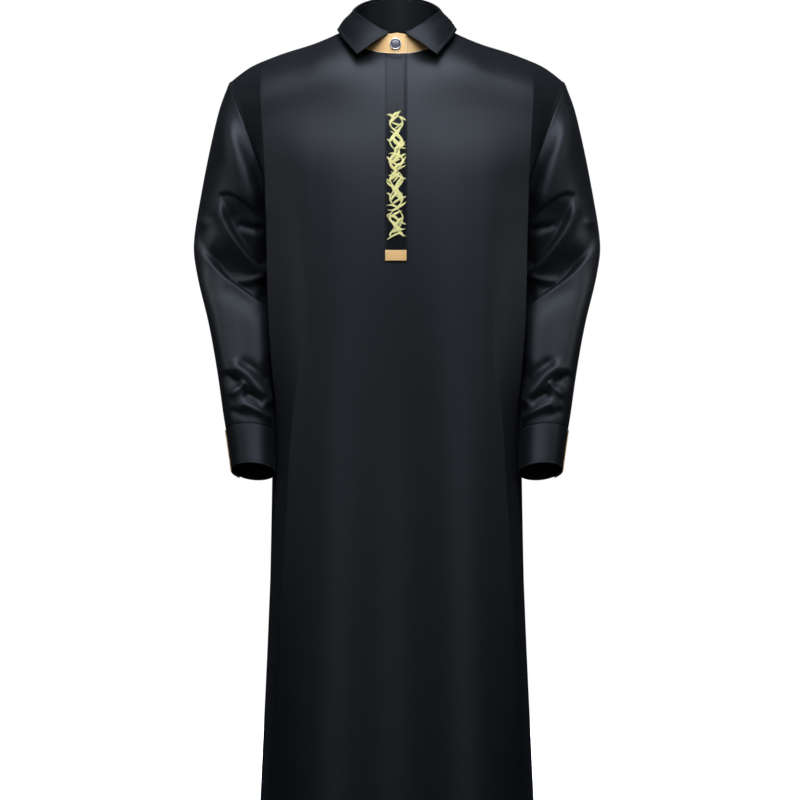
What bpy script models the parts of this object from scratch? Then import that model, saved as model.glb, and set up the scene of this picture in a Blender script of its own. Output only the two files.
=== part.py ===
"""A man's long black thobe, worn open and hollow, with a gold collar stand and gold trim.

Metres, +Z up, the front faces -Y. The origin is the centre of the neck base, level with the
high points of the shoulders, where the wearer carries the garment.
"""

import math

import bmesh
import bpy
import numpy as np
from mathutils import Matrix, Vector

# Cloth and seams.
CLOTH = 0.0015
BAND = 0.0012
SEAM_GAP = 0.0003

# The armhole is an ellipse in a plane that leans out from the underarm to the shoulder tip.
SHOULDER_TIP = np.array([0.2350, 0.0, -0.0755])
UNDERARM = np.array([0.1600, 0.0, -0.2700])
ARMHOLE_HALF_DEPTH = 0.062
ARMHOLE_RINGS = 7

# The neck seam, and the shoulder line from it to the tip.
NECK_HALF_WIDTH = 0.072
NECK_FRONT_Y = -0.085
NECK_FRONT_Z = -0.0414
NECK_BACK_Y = 0.062
NECK_BACK_Z = 0.002
SHOULDER_LINE = {
    "x": (0.072, 0.099, 0.122, 0.154, 0.184, 0.207, 0.2226, 0.2350),
    "z": (0.000, -0.0125, -0.0214, -0.0313, -0.0425, -0.0534, -0.0648, -0.0755),
}
# Where the four spans of a panel start on the shoulder: neck, inner fold, front edge, tip.
SHOULDER_STOPS = (0.072, 0.130, 0.188, 0.2350)
SHOULDER_IN = np.array([-0.3569, 0.0, -0.9341])
TOP_LEVEL = -0.060

# The armhole's edge is square to its seam at the shoulder tip, and square to the panel from
# this armhole angle on. BODY_CORE is a point inside the body.
SHOULDER_WALL_END = math.radians(90.0)
SHOULDER_WALL_EASE = math.radians(60.0)
BODY_CORE = np.array([0.0, 0.0, -0.7])

# The rings of the body at rising depth below the shoulders. follow says how far a ring keeps
# the dip of the top edge. Each half ring runs from the centre over a soft ridge and a fold to
# the edge where the cloth turns back to the armhole or the side seam. crease is 0 for a smooth
# turn and 1 for a folded one.
RING_COLUMNS = ("depth", "follow", "side_x", "side_z")
RINGS = (
    (0.060, 1.00, 0.2350, -0.0755),
    (0.088, 0.80, 0.0, 0.0),
    (0.130, 0.45, 0.0, 0.0),
    (0.178, 0.15, 0.0, 0.0),
    (0.224, 0.00, 0.0, 0.0),
    (0.258, 0.00, 0.0, 0.0),
    (0.285, 0.00, 0.1600, -0.270),
    (0.335, 0.00, 0.1570, -0.333),
    (0.400, 0.00, 0.1580, -0.400),
    (0.475, 0.00, 0.1610, -0.475),
    (0.550, 0.00, 0.1660, -0.550),
    (0.630, 0.00, 0.1705, -0.630),
    (0.730, 0.00, 0.1755, -0.730),
    (0.850, 0.00, 0.1805, -0.850),
    (1.000, 0.00, 0.1875, -1.000),
    (1.180, 0.00, 0.1960, -1.180),
    (1.430, 0.00, 0.2080, -1.430),
)
PANEL_COLUMNS = (
    "centre_y", "ridge_x", "ridge_y", "fold_x", "fold_y", "fold_crease",
    "edge_x", "edge_y", "edge_crease",
)
FRONT_PANEL = (
    (-0.1020, 0.080, -0.078, 0.133, -0.074, 0.0, 0.1885, -0.066, 0.7),
    (-0.1200, 0.086, -0.107, 0.135, -0.100, 0.0, 0.1865, -0.090, 0.9),
    (-0.1320, 0.089, -0.127, 0.136, -0.118, 0.0, 0.1830, -0.100, 0.9),
    (-0.1370, 0.090, -0.135, 0.135, -0.124, 0.1, 0.1810, -0.101, 0.9),
    (-0.1385, 0.090, -0.137, 0.134, -0.126, 0.1, 0.1803, -0.100, 0.9),
    (-0.1385, 0.089, -0.138, 0.1325, -0.127, 0.15, 0.1795, -0.098, 0.9),
    (-0.1375, 0.088, -0.139, 0.132, -0.128, 0.2, 0.1787, -0.095, 0.9),
    (-0.1345, 0.087, -0.1395, 0.1315, -0.128, 0.3, 0.1770, -0.091, 0.85),
    (-0.1305, 0.088, -0.140, 0.134, -0.127, 0.5, 0.1720, -0.086, 0.7),
    (-0.1275, 0.091, -0.141, 0.144, -0.123, 0.8, 0.1655, -0.076, 0.5),
    (-0.1265, 0.095, -0.143, 0.1495, -0.120, 0.9, 0.1660, -0.062, 0.2),
    (-0.1270, 0.098, -0.146, 0.157, -0.115, 0.8, 0.1715, -0.055, 0.0),
    (-0.1290, 0.100, -0.150, 0.164, -0.110, 0.6, 0.1770, -0.050, 0.0),
    (-0.1330, 0.103, -0.156, 0.171, -0.106, 0.4, 0.1840, -0.048, 0.0),
    (-0.1380, 0.107, -0.164, 0.178, -0.106, 0.3, 0.1920, -0.050, 0.0),
    (-0.1440, 0.112, -0.175, 0.187, -0.108, 0.3, 0.2030, -0.052, 0.0),
)
BACK_PANEL = (
    (0.0860, 0.080, 0.060, 0.133, 0.056, 0.0, 0.1880, 0.048, 0.2),
    (0.1070, 0.086, 0.092, 0.135, 0.084, 0.0, 0.1860, 0.073, 0.4),
    (0.1180, 0.089, 0.112, 0.136, 0.102, 0.0, 0.1835, 0.086, 0.6),
    (0.1205, 0.090, 0.118, 0.136, 0.108, 0.0, 0.1815, 0.089, 0.7),
    (0.1200, 0.090, 0.119, 0.135, 0.109, 0.0, 0.1800, 0.088, 0.7),
    (0.1185, 0.090, 0.119, 0.134, 0.109, 0.0, 0.1790, 0.086, 0.7),
    (0.1155, 0.090, 0.119, 0.133, 0.109, 0.1, 0.1775, 0.083, 0.7),
    (0.1115, 0.090, 0.118, 0.133, 0.108, 0.2, 0.1765, 0.078, 0.6),
    (0.1080, 0.090, 0.118, 0.136, 0.107, 0.3, 0.1755, 0.071, 0.5),
    (0.1065, 0.091, 0.119, 0.141, 0.105, 0.4, 0.1750, 0.064, 0.3),
    (0.1065, 0.093, 0.121, 0.147, 0.103, 0.4, 0.1755, 0.057, 0.1),
    (0.1080, 0.096, 0.124, 0.153, 0.100, 0.4, 0.1765, 0.052, 0.0),
    (0.1110, 0.099, 0.129, 0.160, 0.098, 0.4, 0.1785, 0.049, 0.0),
    (0.1160, 0.102, 0.136, 0.168, 0.098, 0.3, 0.1850, 0.048, 0.0),
    (0.1220, 0.106, 0.145, 0.176, 0.100, 0.2, 0.1930, 0.050, 0.0),
    (0.1300, 0.111, 0.156, 0.186, 0.104, 0.2, 0.2035, 0.053, 0.0),
)
SPAN_CELLS = (5, 3, 3, 2)
ARMHOLE_CELLS = 12
BELOW_ARM_ROWS = (
    0.335, 0.367, 0.400, 0.437, 0.475, 0.512, 0.550, 0.595, 0.645, 0.710, 0.790, 0.900,
    1.050, 1.230, 1.430,
)
# The front slit runs from the neck seam to this depth, under the placket.
SLIT_SPAN = 0.016
SLIT_END = 0.290

# The sleeve and its cuff. Each ring is an ellipse between an outer and an inner point;
# centre_y and half_depth give its fore and aft place, front_lift raises its front, and flat
# presses its front and back flatter.
SLEEVE_COLUMNS = (
    "outer_x", "outer_z", "inner_x", "inner_z", "centre_y", "half_depth", "front_lift", "flat",
)
SLEEVE_RINGS = (
    (0.2350, -0.0755, 0.1600, -0.2700, 0.000, 0.0620, 0.000, 0.00),
    (0.2461, -0.1040, 0.1640, -0.2735, 0.000, 0.0670, 0.000, 0.00),
    (0.2543, -0.1340, 0.1668, -0.2810, 0.001, 0.0710, 0.000, 0.02),
    (0.2648, -0.1810, 0.1685, -0.2945, 0.004, 0.0740, 0.000, 0.08),
    (0.2764, -0.2410, 0.1690, -0.3160, 0.008, 0.0740, 0.000, 0.15),
    (0.2841, -0.2940, 0.1700, -0.3430, 0.004, 0.0640, 0.000, 0.30),
    (0.2824, -0.3270, 0.1710, -0.3660, 0.001, 0.0570, 0.001, 0.45),
    (0.2746, -0.3640, 0.1720, -0.3940, -0.010, 0.0520, 0.002, 0.55),
    (0.2617, -0.4150, 0.1725, -0.4350, -0.0225, 0.0500, 0.004, 0.60),
    (0.2487, -0.4850, 0.1705, -0.4960, -0.0370, 0.0485, 0.008, 0.55),
    (0.2420, -0.5300, 0.1690, -0.5360, -0.0455, 0.0475, 0.011, 0.42),
    (0.2371, -0.5590, 0.1675, -0.5625, -0.0520, 0.0450, 0.012, 0.32),
)
SLEEVE_CELLS_AROUND = 24
SLEEVE_CELLS_PER_RING = 2
CUFF_RINGS = (
    (0.2368, -0.5596, 0.1678, -0.5631, -0.0522, 0.0445, 0.012, 0.32),
    (0.2324, -0.5880, 0.1678, -0.5915, -0.0590, 0.0430, 0.0125, 0.32),
    (0.2283, -0.6150, 0.1675, -0.6190, -0.0655, 0.0420, 0.013, 0.32),
)
CUFF_CLOTH = 0.0020
CUFF_SLIT_ANGLE = 25.0
CUFF_SLIT_HALF = 3.0
CUFF_TAB_ANGLES = (-3.0, 48.0)
CUFF_TAB_BELOW = 0.0012

# Sleeve folds: each is a soft ridge, or a trough where height is below 0, along a line seen
# from the front, as x and z. half_width is the fold's, and it sinks towards its ends.
FOLD_CUT_END = 0.1
FOLD_BEHIND_SHARE = 0.6
FOLD_FACING = (0.05, 0.55)
FOLD_EASE_RINGS = (1.5, 0.7)
SLEEVE_FOLDS = (
    {"line": ((0.229, -0.093), (0.224, -0.173), (0.211, -0.206), (0.180, -0.271)),
     "half_width": 0.015, "height": 0.0070},
    {"line": ((0.192, -0.184), (0.185, -0.221), (0.178, -0.277)),
     "half_width": 0.013, "height": -0.0080},
    {"line": ((0.242, -0.239), (0.225, -0.282), (0.207, -0.307), (0.189, -0.328)),
     "half_width": 0.012, "height": -0.0080},
    {"line": ((0.252, -0.248), (0.236, -0.292), (0.216, -0.317), (0.192, -0.340)),
     "half_width": 0.010, "height": 0.0050},
    {"line": ((0.272, -0.301), (0.248, -0.330), (0.226, -0.351), (0.197, -0.371)),
     "half_width": 0.013, "height": -0.0090},
    {"line": ((0.288, -0.292), (0.265, -0.325), (0.229, -0.364), (0.177, -0.403)),
     "half_width": 0.012, "height": 0.0060},
    {"line": ((0.241, -0.478), (0.228, -0.489), (0.205, -0.498)),
     "half_width": 0.010, "height": -0.0055},
    {"line": ((0.236, -0.467), (0.214, -0.476), (0.190, -0.497)),
     "half_width": 0.010, "height": 0.0055},
    {"line": ((0.221, -0.522), (0.197, -0.529), (0.176, -0.545)),
     "half_width": 0.009, "height": 0.0040},
)

# Collar. The stand leans in from the neck seam to its top; the fall rolls over it.
STAND_TOP_HALF_WIDTH = 0.0612
STAND_TOP_FRONT_Y = -0.0820
STAND_TOP_BACK_Y = 0.0540
STAND_TOP_COLUMNS = ("angle", "z")
STAND_TOP = (
    (0.0, -0.0122),
    (11.0, -0.0136),
    (27.0, -0.0055),
    (43.0, 0.0041),
    (63.0, 0.0149),
    (90.0, 0.0234),
    (135.0, 0.0409),
    (180.0, 0.0509),
)
STAND_END_X = 0.0127
STAND_OVERLAP_BLEND = 0.030
STAND_OVERLAP_SHIFT = 0.0037
STAND_CORNER = 0.0040
STAND_CELLS_AROUND = 38
STAND_CELLS_UP = 2
FALL_START_ANGLE = 10.7
FALL_FULL_AFTER = 50.0
FALL_ROLL_HEIGHT = 0.0026
FALL_ROLL_OUT = 0.0055
# The section of the fall: the roll, in shares of its height at the points and at the back and
# in shares of its reach, then points down to the edge, in shares of the way there and of the
# bulge.
FALL_ROLL = ((0.0, 0.0, 0.0), (0.55, 0.55, 0.0), (1.0, 1.0, 0.45), (0.45, -0.2, 1.0))
FALL_DROP = ((1 / 3, 1.0), (2 / 3, 0.8), (1.0, 0.0))
FALL_EDGE_COLUMNS = ("angle", "x", "y", "z")
FALL_EDGE = (
    (10.7, 0.0555, -0.1010, -0.0430),
    (30.0, 0.0660, -0.0830, -0.0300),
    (50.0, 0.0765, -0.0560, -0.0160),
    (70.0, 0.0828, -0.0260, -0.0040),
    (90.0, 0.0840, 0.0020, 0.0004),
    (120.0, 0.0750, 0.0420, 0.0030),
    (150.0, 0.0450, 0.0780, 0.0050),
    (180.0, 0.0000, 0.0900, 0.0050),
)
FALL_CELLS_AROUND = 34
FALL_BULGE = 0.0022

# Front trim. Its points are sought on the front's face, whose first span is about this wide.
FIRST_SPAN_WIDTH = 0.09
SEARCH_STEPS = 6
NEAR_STOP = 0.05
NEAR_DEPTH = 0.004
PLACKET_X = (-0.0157, 0.0137)
PLACKET_Z = (-0.0425, -0.3260)
PLACKET_CELLS = (3, 16)
TAB_X = (-0.0166, 0.0136)
TAB_Z = (-0.3140, -0.3284)
TAB_CELLS = (3, 3)

# The snap button: a turned rim with a dished face, and a dark centre that sits in it.
BUTTON_RADIUS = 0.0079
BUTTON_RIM = 0.0014
BUTTON_HEIGHT = 0.0026
BUTTON_DISH = 0.0014
BUTTON_CENTRE_RADIUS = 0.0058
BUTTON_STEPS = 20
BUTTON_AT = (-0.0020, -0.0280)

BLACK_CLOTH = ((0.020, 0.021, 0.024, 1.0), 0.80, 0.0)
GOLD_CLOTH = ((0.72, 0.47, 0.21, 1.0), 0.50, 0.0)
STEEL = ((0.62, 0.60, 0.60, 1.0), 0.28, 1.0)
ENAMEL = ((0.075, 0.055, 0.070, 1.0), 0.35, 0.0)


def read_table(columns, rows):
    """A table as one array for each named column."""
    return dict(zip(columns, np.array(rows, float).T))


def unit(vectors):
    """The vectors at length one."""
    lengths = np.linalg.norm(vectors, axis=-1, keepdims=True)
    return vectors / np.maximum(lengths, 1e-12)


def smooth_through(knots, values):
    """A function for the natural cubic curve through values at rising knots."""
    knots = np.asarray(knots, float)
    values = np.asarray(values, float)
    shape = (-1,) + (1,) * (values.ndim - 1)
    steps = np.diff(knots)
    slopes = np.diff(values, axis=0) / steps.reshape(shape)
    left = np.eye(len(knots))
    right = np.zeros_like(values)
    for i in range(1, len(knots) - 1):
        left[i, i - 1 : i + 2] = steps[i - 1], 2 * (steps[i - 1] + steps[i]), steps[i]
        right[i] = 6 * (slopes[i] - slopes[i - 1])
    bends = np.linalg.solve(left, right.reshape(len(knots), -1)).reshape(values.shape)

    def at(where):
        where = np.asarray(where, float)
        i = np.clip(np.searchsorted(knots, where, side="right") - 1, 0, len(steps) - 1)
        spread = where.shape + (1,) * (values.ndim - 1)
        step = steps[i].reshape(spread)
        b = (where - knots[i]).reshape(spread) / step
        a = 1 - b
        curved = (a**3 - a) * bends[i] + (b**3 - b) * bends[i + 1]
        return a * values[i] + b * values[i + 1] + curved * step**2 / 6

    return at


def smooth_step(t):
    """0 below 0, 1 above 1 and an even rise between."""
    t = np.clip(t, 0, 1)
    return t * t * (3 - 2 * t)


def creased_path(points, creases, start, end, stops):
    """Points at stops, in spans, on a path through the points. A crease of 1 turns sharply.

    start and end are the directions that the path leaves and arrives in, or None.
    """
    chords = np.diff(points, axis=0)
    lengths = np.linalg.norm(chords, axis=1)
    ways = chords / lengths[:, None]
    arriving, leaving = np.empty_like(points), np.empty_like(points)
    arriving[0] = leaving[0] = ways[0] if start is None else start
    arriving[-1] = leaving[-1] = ways[-1] if end is None else end
    for i in range(1, len(points) - 1):
        before, after = lengths[i - 1], lengths[i]
        even = (ways[i - 1] * after + ways[i] * before) / (before + after)
        arriving[i] = even + creases[i] * (ways[i - 1] - even)
        leaving[i] = even + creases[i] * (ways[i] - even)
    span = np.clip(stops.astype(int), 0, len(chords) - 1)
    t = (stops - span)[:, None]
    reach = lengths[span][:, None]
    return (
        (2 * t**3 - 3 * t**2 + 1) * points[span]
        + (t**3 - 2 * t**2 + t) * leaving[span] * reach
        + (3 * t**2 - 2 * t**3) * points[span + 1]
        + (t**3 - t**2) * arriving[span + 1] * reach
    )


def neck_seam(angles):
    """Points of the neck seam at angles from the centre front, in radians, up to pi."""
    front = np.cos(angles) > 0
    y = np.where(front, NECK_FRONT_Y, -NECK_BACK_Y) * np.cos(angles)
    z = np.where(front, NECK_FRONT_Z, -NECK_BACK_Z) * np.cos(angles)
    return np.stack([NECK_HALF_WIDTH * np.sin(angles), y, z], axis=-1)


def armhole(angles):
    """Points of the armhole seam at angles from the shoulder tip; the front is at +90 degrees."""
    middle, half = (SHOULDER_TIP + UNDERARM) / 2, (SHOULDER_TIP - UNDERARM) / 2
    aside = np.array([0.0, -ARMHOLE_HALF_DEPTH, 0.0])
    return middle + np.cos(angles)[..., None] * half + np.sin(angles)[..., None] * aside


def top_edge(stops, facing):
    """The neck seam, over the first span, then the shoulder seam, over the other three."""
    neck = neck_seam(np.pi / 2 * (1 - facing * (1 - np.clip(stops, 0, 1))))
    x = np.interp(stops, np.arange(1, 5), SHOULDER_STOPS)
    z = smooth_through(SHOULDER_LINE["x"], SHOULDER_LINE["z"])(x)
    shoulder = np.stack([x, np.zeros_like(x), z], axis=-1)
    return np.where((stops <= 1)[:, None], neck, shoulder)


def half_stops():
    """The places of a half panel's columns, in spans, from the centre to the side."""
    spans = [i + np.arange(cells) / cells for i, cells in enumerate(SPAN_CELLS)]
    return np.concatenate(spans + [[len(SPAN_CELLS)]])


def armhole_depths(angles):
    """The ring depth at which a panel's side edge reaches each armhole angle, in radians."""
    depths = [ring[0] for ring in RINGS[:ARMHOLE_RINGS]]
    return smooth_through(np.linspace(0, np.pi, ARMHOLE_RINGS), depths)(angles)


def side_edge(row_angles, below_rows, facing):
    """The panel's side edge: the armhole down to the underarm, then the side seam."""
    rings = read_table(RING_COLUMNS, RINGS[ARMHOLE_RINGS - 1 :])
    x = smooth_through(rings["depth"], rings["side_x"])(below_rows)
    z = smooth_through(rings["depth"], rings["side_z"])(below_rows)
    seam = np.stack([x, np.zeros_like(x), z], axis=-1)
    return np.concatenate([armhole(facing * row_angles), seam])


def half_panel(table, facing, stops, row_angles, below_rows):
    """The outer face of half a front (facing 1) or back (facing -1) panel, as rows of points."""
    rings = read_table(RING_COLUMNS, RINGS)
    panel = read_table(PANEL_COLUMNS, table)
    top = top_edge(np.arange(5.0), facing)
    curves = [top_edge(stops, facing)]
    edge_angles = np.linspace(0, np.pi, ARMHOLE_RINGS)
    for i in range(1, len(RINGS)):
        x = [0.0, panel["ridge_x"][i - 1], panel["fold_x"][i - 1], panel["edge_x"][i - 1]]
        y = [panel[name + "_y"][i - 1] for name in ("centre", "ridge", "fold", "edge")]
        z = -rings["depth"][i] + rings["follow"][i] * (top[:4, 2] - TOP_LEVEL)
        if i < ARMHOLE_RINGS:
            side = armhole(facing * edge_angles[i])
        else:
            side = np.array([rings["side_x"][i], 0.0, rings["side_z"][i]])
        points = np.vstack([np.stack([x, y, z], axis=1), side])
        creases = [0, 0, panel["fold_crease"][i - 1], panel["edge_crease"][i - 1], 0]
        across = np.array([1.0, 0.0, 0.0])
        aft = np.array([0.0, float(facing), 0.0]) if i >= ARMHOLE_RINGS else None
        curves.append(creased_path(points, creases, across, aft, stops))
    depths = np.concatenate([armhole_depths(row_angles), below_rows])
    face = smooth_through(rings["depth"], np.array(curves))(depths)
    face[:, -1] = side_edge(row_angles, below_rows, facing)
    face[:, -1, 1] -= facing * SEAM_GAP / 2 * (np.abs(face[:, -1, 1]) < SEAM_GAP)
    shoulder = stops >= 1
    face[0, shoulder, 1] = -facing * SEAM_GAP / 2
    return face


def face_normals(face, closed=False):
    """Unit normals of a grid of points, from the run of its rows and columns."""
    if closed:
        around = np.roll(face, -1, axis=1) - np.roll(face, 1, axis=1)
    else:
        around = np.gradient(face, axis=1)
    return unit(np.cross(around, np.gradient(face, axis=0)))


def point_outwards(normals, face, core):
    """The normals, turned if need be, so that they lead away from the core points."""
    if ((face - core) * normals).sum() < 0:
        return -normals
    return normals


def make_object(name, mesh, collection, material, smooth_angle=60.0):
    """An object for the mesh, shaded smooth up to the given angle."""
    mesh.shade_smooth()
    mesh.set_sharp_from_angle(angle=math.radians(smooth_angle))
    mesh.materials.append(material)
    made = bpy.data.objects.new(name, mesh)
    collection.objects.link(made)
    return made


def wall(name, outer, inner, collection, material, closed=False, keep=None):
    """A closed wall between two grids of points. keep says which cells are there."""
    rows, columns = outer.shape[:2]
    cells_across = columns if closed else columns - 1
    if keep is None:
        keep = np.ones((rows - 1, cells_across), bool)
    mesh = bpy.data.meshes.new(name)
    build = bmesh.new()
    layers = [
        [[build.verts.new(point) for point in row] for row in layer]
        for layer in (outer.tolist(), inner.tolist())
    ]

    def kept(i, j):
        if closed:
            j %= cells_across
        inside = 0 <= i < rows - 1 and 0 <= j < cells_across
        return bool(inside and keep[i, j])

    def rim(first, second):
        (i, j), (k, m) = first, second
        build.faces.new((layers[0][i][j], layers[0][k][m], layers[1][k][m], layers[1][i][j]))

    for i in range(rows - 1):
        for j in range(cells_across):
            if not kept(i, j):
                continue
            n = (j + 1) % columns
            for layer in layers:
                build.faces.new((layer[i][j], layer[i][n], layer[i + 1][n], layer[i + 1][j]))
            if not kept(i - 1, j):
                rim((i, j), (i, n))
            if not kept(i + 1, j):
                rim((i + 1, j), (i + 1, n))
            if not kept(i, j - 1):
                rim((i, j), (i + 1, j))
            if not kept(i, j + 1):
                rim((i, n), (i + 1, n))
    loose = [vertex for vertex in build.verts if not vertex.link_faces]
    bmesh.ops.delete(build, geom=loose, context="VERTS")
    bmesh.ops.recalc_face_normals(build, faces=build.faces[:])
    build.to_mesh(mesh)
    build.free()
    return make_object(name, mesh, collection, material)


def mirrored(grid):
    """The grid on the other side of the centre plane."""
    return grid * np.array([-1.0, 1.0, 1.0])


def panel_rows():
    """The armhole angles and the depths below it that a panel has a row at."""
    return np.linspace(0, np.pi, ARMHOLE_CELLS + 1), np.array(BELOW_ARM_ROWS)


def panel_faces(table, facing, stops):
    """The outer and inner points of half a panel, with seam edges square to their seams."""
    row_angles, below_rows = panel_rows()
    outer = half_panel(table, facing, stops, row_angles, below_rows)
    normals = point_outwards(face_normals(outer), outer, BODY_CORE)
    inward = -normals
    inward[0, stops >= 1] = SHOULDER_IN
    count = len(row_angles)
    middle = (SHOULDER_TIP + UNDERARM) / 2
    square = unit(middle - outer[:count, -1])
    share = smooth_step((SHOULDER_WALL_END - row_angles) / SHOULDER_WALL_EASE)[:, None]
    inward[:count, -1] = unit(share * square + (1 - share) * inward[:count, -1])
    inward[0, -1] = SHOULDER_IN
    inward[count - 1 :, -1] = (-1.0, 0.0, 0.0)
    inward[:, 0] = unit(inward[:, 0] * [0.0, 1.0, 1.0])
    return outer, outer + CLOTH * inward


def both_halves(half):
    """A whole panel from its half, which starts at the centre."""
    return np.concatenate([mirrored(half)[:, :0:-1], half], axis=1)


def make_front(collection, material):
    """The front, slit down its centre under the placket."""
    stops = np.concatenate([[0.0, SLIT_SPAN], half_stops()[1:]])
    outer, inner = panel_faces(FRONT_PANEL, 1, stops)
    outer, inner = both_halves(outer), both_halves(inner)
    row_angles, below_rows = panel_rows()
    depths = np.concatenate([armhole_depths(row_angles), below_rows])
    middle = outer.shape[1] // 2
    keep = np.ones((outer.shape[0] - 1, outer.shape[1] - 1), bool)
    keep[depths[1:] <= SLIT_END + 1e-6, middle - 1 : middle + 1] = False
    return wall("front", outer, inner, collection, material, keep=keep)


def make_back(collection, material):
    """The back, in one piece."""
    outer, inner = panel_faces(BACK_PANEL, -1, half_stops())
    return wall("back", both_halves(outer), both_halves(inner), collection, material)


def tube_rings(rows, angles, where):
    """Rings of a sleeve or cuff at the row numbers in where; angle 0 is outside, 90 in front."""
    table = smooth_through(np.arange(len(rows)), np.array(rows, float))(where)
    ring = dict(zip(SLEEVE_COLUMNS, table.T[..., None]))
    across, along = np.cos(angles)[None], np.sin(angles)[None]
    pressed = along * (1 + ring["flat"] * across**2)
    x = (ring["outer_x"] + ring["inner_x"]) / 2 + (ring["outer_x"] - ring["inner_x"]) / 2 * across
    z = (ring["outer_z"] + ring["inner_z"]) / 2 + (ring["outer_z"] - ring["inner_z"]) / 2 * across
    y = ring["centre_y"] - ring["half_depth"] * pressed
    return np.stack([x, y, z + ring["front_lift"] * along], axis=-1)


def distance_to_line(x, z, line):
    """How far points are from a line seen from the front, and how far along it from 0 to 1."""
    points = np.array(line)
    lengths = np.linalg.norm(np.diff(points, axis=0), axis=1)
    starts = np.concatenate([[0], np.cumsum(lengths)])
    best = np.full(x.shape, np.inf)
    along = np.zeros(x.shape)
    for a, b, length, start in zip(points[:-1], points[1:], lengths, starts):
        t = np.clip(((x - a[0]) * (b[0] - a[0]) + (z - a[1]) * (b[1] - a[1])) / length**2, 0, 1)
        away = np.hypot(x - a[0] - t * (b[0] - a[0]), z - a[1] - t * (b[1] - a[1]))
        nearer = away < best
        best = np.where(nearer, away, best)
        along = np.where(nearer, (start + t * length) / starts[-1], along)
    return best, along


def folded(face, normals, folds, ease):
    """The face moved along its normals by the folds, both in front and, softer, behind."""
    moved = face.copy()
    for fold in folds:
        away, along = distance_to_line(face[..., 0], face[..., 2], fold["line"])
        arch = np.sin(np.pi * (FOLD_CUT_END + (1 - 2 * FOLD_CUT_END) * along))
        shape = np.exp(-((away / fold["half_width"]) ** 2)) * arch
        forward = -normals[..., 1]
        front = smooth_step((forward - FOLD_FACING[0]) / (FOLD_FACING[1] - FOLD_FACING[0]))
        behind = smooth_step((-forward - FOLD_FACING[0]) / (FOLD_FACING[1] - FOLD_FACING[0]))
        behind = FOLD_BEHIND_SHARE * behind
        height = fold["height"] * shape * (front + behind) * ease
        moved += height[..., None] * normals
    return moved


def sleeve_faces():
    """The outer and inner points of the right sleeve."""
    angles = np.linspace(0, 2 * np.pi, SLEEVE_CELLS_AROUND, endpoint=False)
    where = np.linspace(0, len(SLEEVE_RINGS) - 1, SLEEVE_CELLS_PER_RING * (len(SLEEVE_RINGS) - 1) + 1)
    outer = tube_rings(SLEEVE_RINGS, angles, where)
    core = outer.mean(axis=1, keepdims=True)
    normals = point_outwards(face_normals(outer, closed=True), outer, core)
    last = len(SLEEVE_RINGS) - 1
    from_top, from_cuff = FOLD_EASE_RINGS
    ease = smooth_step(where / from_top) * smooth_step((last - where) / from_cuff)
    outer = folded(outer, normals, SLEEVE_FOLDS, ease[:, None])
    normals = point_outwards(face_normals(outer, closed=True), outer, core)
    inward = -normals
    inward[0] = unit(core[0] - outer[0])
    out = unit(np.cross(UNDERARM - SHOULDER_TIP, [0.0, 1.0, 0.0]))
    out = out if out[0] > 0 else -out
    outer[0] += 3 * SEAM_GAP * out
    return outer, outer + CLOTH * inward


def make_sleeves(collection, material):
    """Both sleeves, closed tubes from armhole to cuff."""
    outer, inner = sleeve_faces()
    wall("sleeve_left", outer, inner, collection, material, closed=True)
    wall("sleeve_right", mirrored(outer), mirrored(inner), collection, material, closed=True)


def cuff_surface(angles, where):
    """Points and outward normals of the cuff at angles in radians and ring numbers."""
    outer = tube_rings(CUFF_RINGS, angles, where)
    core = outer.mean(axis=1, keepdims=True)
    return outer, point_outwards(face_normals(outer), outer, core)


def make_cuffs(collection, black, gold):
    """The cuffs, each slit at the outer back, and the gold tabs that close them."""
    start = math.radians(-CUFF_SLIT_ANGLE + CUFF_SLIT_HALF)
    end = start + 2 * math.pi - math.radians(2 * CUFF_SLIT_HALF)
    where = np.linspace(0, len(CUFF_RINGS) - 1, 4)
    outer, normals = cuff_surface(np.linspace(start, end, SLEEVE_CELLS_AROUND + 1), where)
    inner = outer - CUFF_CLOTH * normals
    tab_angles = -np.radians(np.linspace(*CUFF_TAB_ANGLES, 6))
    under, tab_normals = cuff_surface(tab_angles, where)
    under = under + 2 * SEAM_GAP * tab_normals
    under[-1, :, 2] -= CUFF_TAB_BELOW
    over = under + BAND * tab_normals
    for side, turn in (("left", np.array), ("right", mirrored)):
        wall("cuff_" + side, turn(outer), turn(inner), collection, black)
        wall("cuff_tab_" + side, turn(over), turn(under), collection, gold)


def stand_top(angles):
    """The top edge of the collar stand's outer face."""
    turn = np.abs(np.angle(np.exp(1j * angles)))
    front = np.cos(angles) > 0
    y = np.where(front, STAND_TOP_FRONT_Y, -STAND_TOP_BACK_Y) * np.cos(angles)
    table = read_table(STAND_TOP_COLUMNS, STAND_TOP)
    z = smooth_through(np.radians(table["angle"]), table["z"])(turn)
    return np.stack([STAND_TOP_HALF_WIDTH * np.sin(angles), y, z], axis=-1)


def stand_bottom(angles):
    """The bottom edge of the stand, just above the neck edges of the panels, at any angles."""
    turn = np.abs(np.angle(np.exp(1j * angles)))
    corners = np.linspace(0, np.pi, 2 * SPAN_CELLS[0] + 1)
    found = neck_seam(corners)
    seam = np.stack([np.interp(turn, corners, found[:, axis]) for axis in range(3)], axis=-1)
    seam[..., 0] *= np.where(np.sin(angles) < 0, -1.0, 1.0)
    seam[..., 2] += 2 * SEAM_GAP
    return seam


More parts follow.
